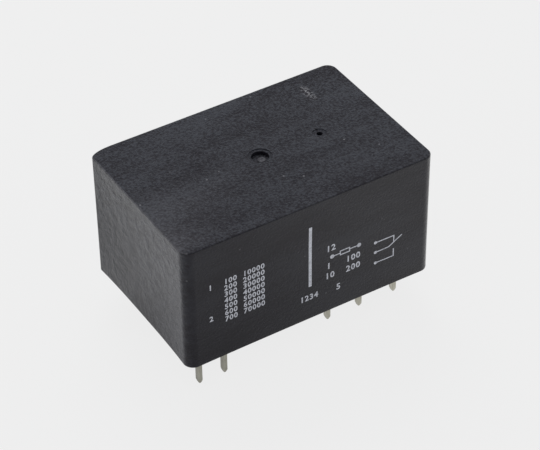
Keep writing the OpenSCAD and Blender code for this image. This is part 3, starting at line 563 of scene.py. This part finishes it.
# %% Lay out the bar and the symbols
BAR_LEFT, BAR_RIGHT, BAR_LOW, BAR_HIGH, BAR_STEPS = -0.74, -0.1, 7.65, 21.5, 8
LINE = 0.22
climb = [BAR_LOW + (BAR_HIGH - BAR_LOW) * k / BAR_STEPS for k in range(BAR_STEPS + 1)]
flat_shape([(BAR_RIGHT, z) for z in reversed(climb)] + [(BAR_LEFT, z) for z in climb])
coil_symbol = (
    ((4.3, 12.6), (6.05, 12.6)), ((8.05, 12.7), (10.1, 12.7)),
    ((5.95, 13.08), (8.15, 13.08)), ((5.95, 12.2), (8.15, 12.2)),
    ((6.05, 12.2), (6.05, 13.08)), ((8.05, 12.2), (8.05, 13.08)),
)
contact_symbol = (
    ((13.7, 11.58), (17.82, 11.58)), ((17.72, 11.68), (17.72, 9.95)), ((13.74, 9.28), (16.6, 9.35)),
    ((16.55, 9.3), (19.5, 11.1)), ((13.79, 6.77), (17.8, 6.77)), ((17.7, 6.67), (17.7, 8.5)),
)
for a, b in coil_symbol + contact_symbol:
    stroke(a, b, LINE)
for centre in ((4.3, 12.6), (10.1, 12.7)):
    dot(centre, 0.45)
for centre in ((13.7, 11.58), (13.74, 9.28), (13.79, 6.77)):
    dot(centre, 0.34)
print("faces of the bar and the symbols:", len(print_mesh.faces))

# %% Lay out the numbers
ROWS, ROW_TOP, ROW_STEP, ROW_HIGH, COLUMNS = 7, 17.25, 1.45, 1.2, ((100, -18.4), (10000, -14.5))
for row in range(ROWS):
    for unit, left in COLUMNS:
        number(str(unit * (row + 1)), left, ROW_TOP - ROW_STEP * row, ROW_HIGH)
for text, left, middle, height in (
    ("1", -21.6, 17.25, 1.2), ("2", -21.6, 10, 1.2), ("12", 3.0, 14.8, 1.4), ("1", 3.1, 10.75, 1.4),
    ("10", 2.8, 8.45, 1.4), ("100", 7.3, 10.55, 1.4), ("200", 7.3, 8.25, 1.4), ("1234", -2.6, 5.25, 1.3),
    ("5", 5.2, 4.95, 1.4),
):
    number(text, left, middle, height)
bmesh.ops.triangulate(print_mesh, faces=[f for f in print_mesh.faces if len(f.verts) > 4])
marks = as_piece(print_mesh, "printed_marks", ink)
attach(marks, "frame")

# %% [markdown]
# ## Metals
# A metal has no colour of its own under the surface: its colour sits in its reflections. What tells one
# metal from another is the tint, the polish, and the marks of how it was made. Plating is cloudy, rolled
# strip is streaked along its length, and drawn wire has fine lines. One recipe covers them, with the tint
# and the streaks as its inputs.

# %% Recipe for metals
def metal(name, dark, light, roughness, cloud_mm, stretch=(1, 1, 1)):
    finish, tree, shader, spot = start_finish(name)
    laid = add(tree, "ShaderNodeMapping", {"Vector": spot, "Scale": stretch})
    cloud = add(
        tree, "ShaderNodeTexNoise",
        {"Vector": laid.outputs[0], "Scale": every(cloud_mm), "Detail": 5, "Roughness": 0.6},
    )
    tint = add(tree, "ShaderNodeValToRGB", {"Fac": cloud.outputs["Fac"]})
    tint.color_ramp.elements[0].position, tint.color_ramp.elements[1].position = 0.35, 0.65
    tint.color_ramp.elements[0].color, tint.color_ramp.elements[1].color = colour(dark), colour(light)
    tree.links.new(tint.outputs[0], shader.inputs["Base Color"])
    polish = add(
        tree, "ShaderNodeMapRange", {"Value": cloud.outputs["Fac"], "From Min": 0.3, "From Max": 0.7}
    )
    polish.inputs["To Min"].default_value = roughness + 0.05
    polish.inputs["To Max"].default_value = roughness - 0.04
    tree.links.new(polish.outputs[0], shader.inputs["Roughness"])
    relief = add(
        tree, "ShaderNodeBump", {"Height": cloud.outputs["Fac"], "Strength": 0.2, "Distance": 0.01 * MM}
    )
    tree.links.new(relief.outputs[0], shader.inputs["Normal"])
    shader.inputs["Metallic"].default_value = 1
    print("made", name)
    return finish


# Dull tin over copper alloy: soft grey with a warm cast, cloudy from the plating bath
tinned_copper = metal("dull_tin_plate", "#b3b0a2", "#c8c6b9", 0.36, 0.8, (1, 1, 0.5))
# Zinc over soft steel: a cold grey with a slight blue cloud
plated_steel = metal("zinc_plated_steel", "#9a9da3", "#c4c8cf", 0.32, 2.5)
# Ground soft iron: fine grinding lines along the armature
soft_iron = metal("ground_soft_iron", "#989a9d", "#b2b3b6", 0.3, 0.7, (0.08, 1, 1))
# Silver alloy of the contacts: pale and matt, pressed without polish
contact_silver = metal("silver_contact_alloy", "#b9b5aa", "#e2dfd6", 0.42, 0.5)
# Rolled copper alloy of the blades: a warm strip with long rolling marks
spring_copper = metal("rolled_copper_alloy", "#b3794a", "#cc9460", 0.28, 0.6, (0.06, 1, 1))
# Drawn spring wire: grey and lightly clouded
spring_steel = metal("drawn_spring_wire", "#75777c", "#a9abb0", 0.3, 0.25)
# Bare copper of the pigtails: bright red-brown with darker, oxidised patches
bare_copper = metal("bare_copper_strand", "#8f5029", "#bd7746", 0.34, 0.6)
# Copper wire under clear enamel: deep red-brown and shiny
magnet_wire = metal("enamelled_copper_wire", "#6f2f14", "#a6552a", 0.2, 1.2, (1, 1, 3))
enamel = magnet_wire.node_tree.nodes["Principled BSDF"]
enamel.inputs["Coat Weight"].default_value = 0.8
enamel.inputs["Coat Roughness"].default_value = 0.08

# %% [markdown]
# ## The other plastics
# The base and the contact carrier are dark moulded plastics, the bobbin is pale natural nylon with glass in
# it, the tape is thin amber film, and the seal is a poured resin that set with a glossy, slightly wavy
# face.

# %% Recipe for plastics
def moulded(name, dark, light, roughness, grain_mm, relief_mm):
    finish, tree, shader, spot = start_finish(name)
    grain = add(tree, "ShaderNodeTexNoise", {"Vector": spot, "Scale": every(grain_mm), "Detail": 4})
    tint = add(tree, "ShaderNodeValToRGB", {"Fac": grain.outputs["Fac"]})
    tint.color_ramp.elements[0].position, tint.color_ramp.elements[1].position = 0.36, 0.64
    tint.color_ramp.elements[0].color, tint.color_ramp.elements[1].color = colour(dark), colour(light)
    tree.links.new(tint.outputs[0], shader.inputs["Base Color"])
    dull = add(tree, "ShaderNodeMapRange", {"Value": grain.outputs["Fac"], "From Min": 0.3, "From Max": 0.7})
    dull.inputs["To Min"].default_value = roughness - 0.06
    dull.inputs["To Max"].default_value = roughness + 0.06
    tree.links.new(dull.outputs[0], shader.inputs["Roughness"])
    relief = add(
        tree, "ShaderNodeBump", {"Height": grain.outputs["Fac"], "Strength": 0.4, "Distance": relief_mm * MM}
    )
    tree.links.new(relief.outputs[0], shader.inputs["Normal"])
    shader.inputs["IOR"].default_value = 1.5
    print("made", name)
    return finish


# Glass-filled polyester of the base: black, half matt, with a fine grain
base_plastic = moulded("black_glass_filled_polyester", "#101012", "#26262a", 0.45, 0.5, 0.02)
# Phenolic of the carrier: a dark grey, drier and more matt than the base
carrier_plastic = moulded("dark_grey_phenolic", "#303237", "#3e4147", 0.5, 0.7, 0.02)
# Undyed nylon with glass: cream coloured, with a soft cloud
bobbin_plastic = moulded("natural_nylon_with_glass", "#d8d0ba", "#e6dfcb", 0.42, 0.9, 0.02)
# Polyester film tape: amber and shiny, with shallow waves
film_tape = moulded("amber_polyester_film", "#c09226", "#d3a63f", 0.16, 2.2, 0.03)
# Epoxy that was poured and set: nearly black, glossy and slightly wavy
seal_resin = moulded("poured_epoxy_resin", "#0b0d10", "#1b1f24", 0.14, 3.5, 0.12)

# %% Finishes of the solids that stay as they are
def dress(finish, *names):
    for name in names:
        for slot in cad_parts[name].material_slots:
            slot.material = finish
    print(finish.name, "on", ", ".join(names))


dress(base_plastic, "base")
dress(seal_resin, "epoxy_seal")
dress(plated_steel, "yoke")
dress(soft_iron, "core", "armature")
dress(bobbin_plastic, "bobbin")
dress(film_tape, "coil_tape")
dress(carrier_plastic, "contact_carrier")
dress(spring_copper, "front_blade", "back_blade")
dress(contact_silver, "front_no_contact", "front_nc_contact", "back_no_contact", "back_nc_contact")
dress(contact_silver, "front_moving_contact", "back_moving_contact")

# %% [markdown]
# ## Pins and terminal strips
# Pins and strips are stamped from sheet and then tinned, so no edge on them is truly sharp. The solids have
# exact corners. A copy of each is merged, its flat faces joined up, and its corners rounded by a few
# hundredths of a millimetre, or more at the tips of the pins, so that every edge catches the light.

# %% Round the edges of the terminals
TIP_RADIUS, TIP_STEPS, TIP_HIGHEST = 0.18, 5, -5.35
EDGE_RADIUS, EDGE_ARC_STEPS, ANY_HEIGHT = 0.08, 3, 99
SHARP, SAME_FACE, SAME_POINT = math.radians(20), math.radians(1), 1e-7


def round_off(mesh, radius_mm, steps, highest_mm):
    # Round every sharp edge that lies wholly below a height
    sharp = [e for e in mesh.edges if e.is_manifold and e.calc_face_angle() > SHARP]
    chosen = [e for e in sharp if max(v.co.z for v in e.verts) < highest_mm * MM]
    bmesh.ops.bevel(
        mesh, geom=chosen, offset=radius_mm * MM, segments=steps, profile=0.5,
        affect="EDGES", clamp_overlap=True,
    )


def softened(node, name, finish):
    mesh = bmesh.new()
    mesh.from_mesh(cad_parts[node].data)
    bmesh.ops.remove_doubles(mesh, verts=mesh.verts, dist=SAME_POINT)
    bmesh.ops.dissolve_limit(mesh, angle_limit=SAME_FACE, verts=mesh.verts, edges=mesh.edges)
    round_off(mesh, TIP_RADIUS, TIP_STEPS, TIP_HIGHEST)
    round_off(mesh, EDGE_RADIUS, EDGE_ARC_STEPS, ANY_HEIGHT)
    return as_piece(mesh, name, finish, 40)


TERMINALS = ["coil_pin_start", "coil_pin_finish"]
TERMINALS += [f"{row}_{part}_terminal" for row in ("front", "back") for part in ("common", "no", "nc")]
for node in TERMINALS:
    piece = softened(node, node + "_tinned", tinned_copper)
    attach(piece, "frame")
    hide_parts(node)

# %% [markdown]
# ## Pieces that follow a rule
# The winding, the spring, the lead wires and the pigtails are all wire laid along a path. Geometry Nodes
# make them: a tree takes a line of points, turns it into a curve and sweeps a round wire along it, with the
# wire's size as an input. The result is turned into a plain mesh before it joins the model.

# %% Helpers for the node trees
def new_tree(name, sizes):
    tree = bpy.data.node_groups.new(name, "GeometryNodeTree")
    tree.interface.new_socket("Geometry", in_out="INPUT", socket_type="NodeSocketGeometry")
    for label, kind in sizes.items():
        tree.interface.new_socket(label, in_out="INPUT", socket_type="NodeSocket" + kind)
    tree.interface.new_socket("Geometry", in_out="OUTPUT", socket_type="NodeSocketGeometry")
    return tree, add(tree, "NodeGroupInput")


def end_tree(tree, shape, finish):
    real = add(tree, "GeometryNodeRealizeInstances", {0: shape})
    soft = add(tree, "GeometryNodeSetShadeSmooth", {0: real.outputs[0]})
    painted = add(tree, "GeometryNodeSetMaterial", {"Geometry": soft.outputs[0], "Material": finish})
    add(tree, "NodeGroupOutput", {0: painted.outputs[0]})
    print("tree", tree.name, len(tree.nodes), "nodes")


def grow(name, points, edges, tree, sizes):
    start = bpy.data.meshes.new(name)
    start.from_pydata([Vector(p) * MM for p in points], edges, [])
    seed = bpy.data.objects.new(name + "_path", start)
    bpy.context.scene.collection.objects.link(seed)
    rule = seed.modifiers.new("rule", "NODES")
    rule.node_group = tree
    sockets = {s.name: s.identifier for s in tree.interface.items_tree if s.in_out == "INPUT"}
    for label, value in sizes.items():
        rule[sockets[label]] = value
    depsgraph = bpy.context.evaluated_depsgraph_get()
    made = bpy.data.meshes.new_from_object(seed.evaluated_get(depsgraph), depsgraph=depsgraph)
    bpy.data.objects.remove(seed)
    piece = bpy.data.objects.new(name, made)
    bpy.context.scene.collection.objects.link(piece)
    print(name, len(made.polygons), "faces")
    return piece


# %% Helpers for the paths
def smooth(points, steps):
    # A smooth line through the points
    line = []
    for i in range(len(points) - 1):
        a, b, c, d = (Vector(points[min(max(i + k, 0), len(points) - 1)]) for k in (-1, 0, 1, 2))
        slope, bend, twist = c - a, 2 * a - 5 * b + 4 * c - d, 3 * b - a - 3 * c + d
        for t in (k / steps for k in range(steps)):
            line.append(0.5 * (2 * b + slope * t + bend * t * t + twist * t**3))
    return line + [Vector(points[-1])]


def in_line(points):
    return [(i, i + 1) for i in range(len(points) - 1)]


print("points in a line through three:", len(smooth(((0, 0, 0), (1, 0, 0), (1, 1, 0)), 4)))


# %% Tree for a round wire
def wire_tree(name, finish):
    tree, sizes = new_tree(name, {"Wire radius": "Float", "Sides": "Int"})
    line = add(tree, "GeometryNodeMeshToCurve", {0: sizes.outputs["Geometry"]})
    section = add(
        tree, "GeometryNodeCurvePrimitiveCircle",
        {"Resolution": sizes.outputs["Sides"], "Radius": sizes.outputs["Wire radius"]},
    )
    swept = add(
        tree, "GeometryNodeCurveToMesh",
        {"Curve": line.outputs[0], "Profile Curve": section.outputs[0], "Fill Caps": True},
    )
    end_tree(tree, swept.outputs[0], finish)
    return tree


lead_tree = wire_tree("lead_wire", magnet_wire)
spring_tree = wire_tree("spring_wire", spring_steel)

# %% [markdown]
# ## Resin at the pins
# Liquid resin creeps a little way along anything that stands in it, and sets there as a thin hollow skirt.
# The tree puts one skirt on each pin: a cone without ends, whose rings are pulled to the height of a curve.
# The skirts stop short of the rim, so that the relay still sits flat on its board.

# %% Tree for the skirts of resin
tree, sizes = new_tree("resin_skirt", {"Inner": "Float", "Outer": "Float", "Rise": "Float"})
cone = add(
    tree, "GeometryNodeMeshCone",
    {
        "Vertices": 40, "Side Segments": 8, "Depth": MM,
        "Radius Top": sizes.outputs["Outer"], "Radius Bottom": sizes.outputs["Inner"],
    },
    fill_type="NONE",
)
where = add(tree, "ShaderNodeSeparateXYZ", {0: add(tree, "GeometryNodeInputPosition").outputs[0]})
left = add(
    tree, "ShaderNodeMapRange", {"Value": where.outputs["Z"], "From Max": MM, "To Min": 1.0, "To Max": 0.0}
)
drop = add(tree, "ShaderNodeMath", {0: left.outputs[0], 1: 2.0}, operation="POWER")
below = add(tree, "ShaderNodeMath", {0: drop.outputs[0], 1: sizes.outputs["Rise"]}, operation="MULTIPLY")
sunk_z = add(tree, "ShaderNodeMath", {0: below.outputs[0], 1: -1.0}, operation="MULTIPLY")
spread = add(
    tree, "ShaderNodeCombineXYZ",
    {"X": where.outputs["X"], "Y": where.outputs["Y"], "Z": sunk_z.outputs[0]},
)
curved = add(tree, "GeometryNodeSetPosition", {"Geometry": cone.outputs[0], "Position": spread.outputs[0]})
ovals = add(
    tree, "GeometryNodeInstanceOnPoints",
    {"Points": sizes.outputs["Geometry"], "Instance": curved.outputs[0], "Scale": (0.67, 1, 1)},
)
end_tree(tree, ovals.outputs[0], seal_resin)

# %% Skirts of resin
SKIRT_IN, SKIRT_OUT, FACE_Z, TIP_Z = 0.5, 1.0, 0.155, 0.01
COIL_PINS_X, COIL_PIN_Y = (-23.0, -17.75), -14.95
CONTACT_PINS_X, CONTACT_PINS_Y = (5.85, 12.85, 20.65), (-13, 13)
pins = [(x, COIL_PIN_Y, FACE_Z) for x in COIL_PINS_X]
pins += [(x, y, FACE_Z) for y in CONTACT_PINS_Y for x in CONTACT_PINS_X]
skirts = grow(
    "resin_skirts", pins, [], tree,
    {"Inner": SKIRT_IN * MM, "Outer": SKIRT_OUT * MM, "Rise": (FACE_Z - TIP_Z) * MM},
)
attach(skirts, "frame")

# %% [markdown]
# ## Coil: winding and leads
# A real coil has thousands of turns, of which only the outer layer shows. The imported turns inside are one
# ring, turned like a lathe piece, and the tree adds the outer layer as a tight spiral. The wire is drawn
# thicker than the real one, so that the turns show.

# %% Tree for the outer layer of the winding
tree, sizes = new_tree(
    "coil_outer_layer", {"Radius": "Float", "Height": "Float", "Wire": "Float", "Place": "Vector"}
)
turns = add(
    tree, "ShaderNodeMath", {0: sizes.outputs["Height"], 1: sizes.outputs["Wire"]}, operation="DIVIDE"
)
half = add(tree, "ShaderNodeMath", {0: sizes.outputs["Wire"], 1: 0.5}, operation="MULTIPLY")
spiral = add(
    tree, "GeometryNodeCurveSpiral",
    {
        "Resolution": 56, "Rotations": turns.outputs[0], "Height": sizes.outputs["Height"],
        "Start Radius": sizes.outputs["Radius"], "End Radius": sizes.outputs["Radius"],
    },
)
placed = add(
    tree, "GeometryNodeTransform", {"Geometry": spiral.outputs[0], "Translation": sizes.outputs["Place"]}
)
section = add(tree, "GeometryNodeCurvePrimitiveCircle", {"Resolution": 6, "Radius": half.outputs[0]})
swept = add(
    tree, "GeometryNodeCurveToMesh",
    {"Curve": placed.outputs[0], "Profile Curve": section.outputs[0], "Fill Caps": True},
)
end_tree(tree, swept.outputs[0], magnet_wire)

# %% Winding
COIL_X, TUBE_R, COIL_R, COIL_LOW, COIL_HIGH = -9.65, 5.264, 9.0, 6.35, 16.0
WIRE, HOOP_POINTS = 0.3, 96
LAYER_R = COIL_R - WIRE / 2
layer = grow(
    "coil_outer_turns", [(0, 0, 0)], [], tree,
    {
        "Radius": LAYER_R * MM, "Height": (COIL_HIGH - COIL_LOW - WIRE) * MM, "Wire": WIRE * MM,
        "Place": (COIL_X * MM, 0, (COIL_LOW + WIRE / 2) * MM),
    },
)
packed = bmesh.new()
profile = ((TUBE_R, COIL_LOW), (LAYER_R, COIL_LOW), (LAYER_R, COIL_HIGH), (TUBE_R, COIL_HIGH))
hoops = [round_ring(packed, (COIL_X, 0), r, z, HOOP_POINTS) for r, z in profile]
skin(packed, hoops + hoops[:1])
bmesh.ops.recalc_face_normals(packed, faces=packed.faces)
packed.from_mesh(layer.data)
bpy.data.objects.remove(layer)
winding = as_piece(packed, "coil_turns", magnet_wire, 50)
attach(winding, "frame")
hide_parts("coil_winding")

# %% Lead wires, wrapped once round the coil pins
LEDGE_TOP, LEAD_R, LEAD_GAP, LEAD_FAR = 8.0, 0.14, 0.03, 9.8
PIN_HALF_X, PIN_HALF_Y, WRAP_UP, WRAP_RISE = 0.4, 0.6, 0.665, 0.8


def lead_line(angle, bend_angle, out, x):
    a, b = PIN_HALF_X + LEAD_R + LEAD_GAP, PIN_HALF_Y + LEAD_R + LEAD_GAP
    rise, z = LEAD_R * WRAP_RISE, LEDGE_TOP + WRAP_UP
    r, far = COIL_R + LEAD_R + LEAD_GAP, out * LEAD_FAR
    first, second = math.radians(angle), math.radians(bend_angle)
    run = smooth((
        (COIL_X + r * math.cos(first), r * math.sin(first), COIL_LOW + 0.48),
        (COIL_X + far * math.cos(second), far * math.sin(second), LEDGE_TOP + LEAD_R),
        (x + 3 * a, COIL_PIN_Y + 2 * b, z),
        (x + a, COIL_PIN_Y + b, z),
    ), 10)
    corners = ((0, b), (-a, b), (-a, 0), (-a, -b), (0, -b), (a, -b), (a, 0), (a, b), (0, b))
    climb = (0.5, 1, 1.4, 1.8, 2.2, 2.6, 3, 3.4, 3.6)
    return run + [Vector((x + dx, COIL_PIN_Y + dy, z + rise * up)) for (dx, dy), up in zip(corners, climb)]


LEADS = {
    "coil_lead_start": lead_line(215, 225, 1.4, COIL_PINS_X[0]),
    "coil_lead_finish": lead_line(238, 240, 1.25, COIL_PINS_X[1]),
}
for name, line in LEADS.items():
    piece = grow(name + "_wire", line, in_line(line), lead_tree, {"Wire radius": LEAD_R * MM, "Sides": 12})
    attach(piece, "frame")
    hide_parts(name)

# %% [markdown]
# ## Return spring
# The spring hooks into the yoke's tab below and into the armature's tail above, and stretches a little as
# the armature rocks. Here it is made once, at rest, as one piece.

# %% Spring
POLE_Z, FOOT_Z, HEAD_Z, TAB_Z = 18.6, 5.7, 20.75, 7
S, X, LOW, HIGH = 0.9, -23.2, 8.305, 17.025
SPRING_WIRE, COIL_TURNS, TURN_POINTS = 0.18, 11, 28
foot = smooth((
    (X, 1.2 * S, FOOT_Z), (X, 0.4 * S, FOOT_Z), (X, 0, FOOT_Z + 0.4 * S), (X, 0, TAB_Z + 0.2 * S),
    (X + 0.3 * S, -0.4 * S, LOW - 0.5 * S),
), 6)
coils = []
for k in range(COIL_TURNS * TURN_POINTS + 1):
    a, share = 2 * math.pi * k / TURN_POINTS, k / (COIL_TURNS * TURN_POINTS)
    coils.append(Vector((X + S * math.cos(a), S * math.sin(a), LOW + (HIGH - LOW) * share)))
head = smooth((
    (X + 0.3 * S, 0.4 * S, HIGH + 0.5 * S), (X, 0, POLE_Z - 0.65 * S), (X, 0, HEAD_Z - 0.4 * S),
    (X, 0.4 * S, HEAD_Z), (X, 1.2 * S, HEAD_Z),
), 6)
line = foot + coils + head
spring = grow(
    "return_spring_coil", line, in_line(line), spring_tree, {"Wire radius": SPRING_WIRE * MM, "Sides": 10}
)
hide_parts("return_spring")
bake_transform(spring)

# %% [markdown]
# ## Braided pigtails
# Each blade gets its current through a soft rope of fine copper, welded to the common strip below and to
# the blade above. The rope is a braid: half of the strands wind to the left and half to the right, and they
# pass over and under each other. The tree copies the path once for each strand, winds the copies round it,
# and sweeps a thin wire along each one. The strands are fewer and thicker than the real ones, so that the
# weave shows.

# %% Tree for a braid: wind the copies of the path
braid_tree, sizes = new_tree("copper_braid", {
    "Strands": "Int", "Rope radius": "Float", "Strand radius": "Float", "Pitch": "Float", "Points": "Int",
})
tree = braid_tree
line = add(tree, "GeometryNodeMeshToCurve", {0: sizes.outputs["Geometry"]})
even = add(
    tree, "GeometryNodeResampleCurve", {"Curve": line.outputs[0], "Count": sizes.outputs["Points"]}
)
copies = add(
    tree, "GeometryNodeDuplicateElements",
    {"Geometry": even.outputs[0], "Amount": sizes.outputs["Strands"]}, domain="SPLINE",
)
strand_index = copies.outputs["Duplicate Index"]
odd = add(tree, "ShaderNodeMath", {0: strand_index, 1: 2.0}, operation="MODULO")
hand = add(tree, "ShaderNodeMath", {0: odd.outputs[0], 1: 2.0, 2: -1.0}, operation="MULTIPLY_ADD")
length = add(tree, "GeometryNodeSplineParameter").outputs["Length"]
along = add(tree, "ShaderNodeMath", {0: length, 1: sizes.outputs["Pitch"]}, operation="DIVIDE")
turned = add(tree, "ShaderNodeMath", {0: along.outputs[0], 1: hand.outputs[0]}, operation="MULTIPLY")
share = add(tree, "ShaderNodeMath", {0: strand_index, 1: sizes.outputs["Strands"]}, operation="DIVIDE")
turn = add(tree, "ShaderNodeMath", {0: turned.outputs[0], 1: share.outputs[0]}, operation="ADD")
angle = add(tree, "ShaderNodeMath", {0: turn.outputs[0], 1: 2 * math.pi}, operation="MULTIPLY")
print("braid so far:", len(tree.nodes), "nodes")

# %% Tree for a braid: pass the strands over and under, and sweep them
weave = add(tree, "ShaderNodeMath", {0: angle.outputs[0], 1: 4.0}, operation="MULTIPLY")
wave = add(tree, "ShaderNodeMath", {0: weave.outputs[0]}, operation="SINE")
lift = add(tree, "ShaderNodeMath", {0: wave.outputs[0], 1: hand.outputs[0]}, operation="MULTIPLY")
out = add(
    tree, "ShaderNodeMath",
    {0: lift.outputs[0], 1: sizes.outputs["Strand radius"], 2: sizes.outputs["Rope radius"]},
    operation="MULTIPLY_ADD",
)
normal, tangent = add(tree, "GeometryNodeInputNormal"), add(tree, "GeometryNodeInputTangent")
spin = add(
    tree, "ShaderNodeVectorRotate",
    {"Vector": normal.outputs[0], "Axis": tangent.outputs[0], "Angle": angle.outputs[0]},
    rotation_type="AXIS_ANGLE",
)
offset = add(tree, "ShaderNodeVectorMath", {0: spin.outputs[0], "Scale": out.outputs[0]}, operation="SCALE")
moved = add(tree, "GeometryNodeSetPosition", {"Geometry": copies.outputs[0], "Offset": offset.outputs[0]})
rope = add(tree, "GeometryNodeJoinGeometry")
for path, sides, radius in ((moved, 5, "Strand radius"), (even, 12, "Rope radius")):
    section = add(
        tree, "GeometryNodeCurvePrimitiveCircle", {"Resolution": sides, "Radius": sizes.outputs[radius]}
    )
    swept = add(
        tree, "GeometryNodeCurveToMesh",
        {"Curve": path.outputs[0], "Profile Curve": section.outputs[0], "Fill Caps": True},
    )
    tree.links.new(swept.outputs[0], rope.inputs[0])
end_tree(tree, rope.outputs[0], bare_copper)

# %% Pigtails
HINGE_X, REST_DEG = -21.6, 2.8
BLADE_Y, BLADE_Z, ROPE, BASE_TOP = 11.3, 19.2, 0.8, 3.0
COMMON_X, STRIP_HALF, ROPE_GAP = 5.85, 0.4, 0.03
LOW_PART = ((0, 0.21), (0, 0.36), (0.1, 0.49), (1.4, 0.65), (3.1, 0.8), (3.6, 0.935))
HIGH_PART = ((4.4, -0.94), (3, 0), (1.75, 0), (0.25, 0))
BRAID = {
    "Strands": 16, "Rope radius": 0.62 * MM, "Strand radius": 0.085 * MM, "Pitch": 5 * MM, "Points": 130,
}


def at_rest(x, y, z):
    # Where a place on the level armature goes when it rests on its stop
    c, s = math.cos(math.radians(REST_DEG)), math.sin(math.radians(REST_DEG))
    return HINGE_X + (x - HINGE_X) * c - (z - POLE_Z) * s, y, POLE_Z + (x - HINGE_X) * s + (z - POLE_Z) * c


for row, y in (("front", -BLADE_Y), ("back", BLADE_Y)):
    x, z = COMMON_X + STRIP_HALF + ROPE + ROPE_GAP, BLADE_Z - ROPE - ROPE_GAP
    points = [(x + dx * ROPE, y, BASE_TOP + share * (z - BASE_TOP)) for dx, share in LOW_PART]
    points += [at_rest(COMMON_X + dx * ROPE, y, z + dz * ROPE) for dx, dz in HIGH_PART]
    line = smooth(points, 8)
    pigtail = grow(row + "_pigtail_braid", line, in_line(line), braid_tree, BRAID)
    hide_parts(row + "_pigtail")
    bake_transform(pigtail)
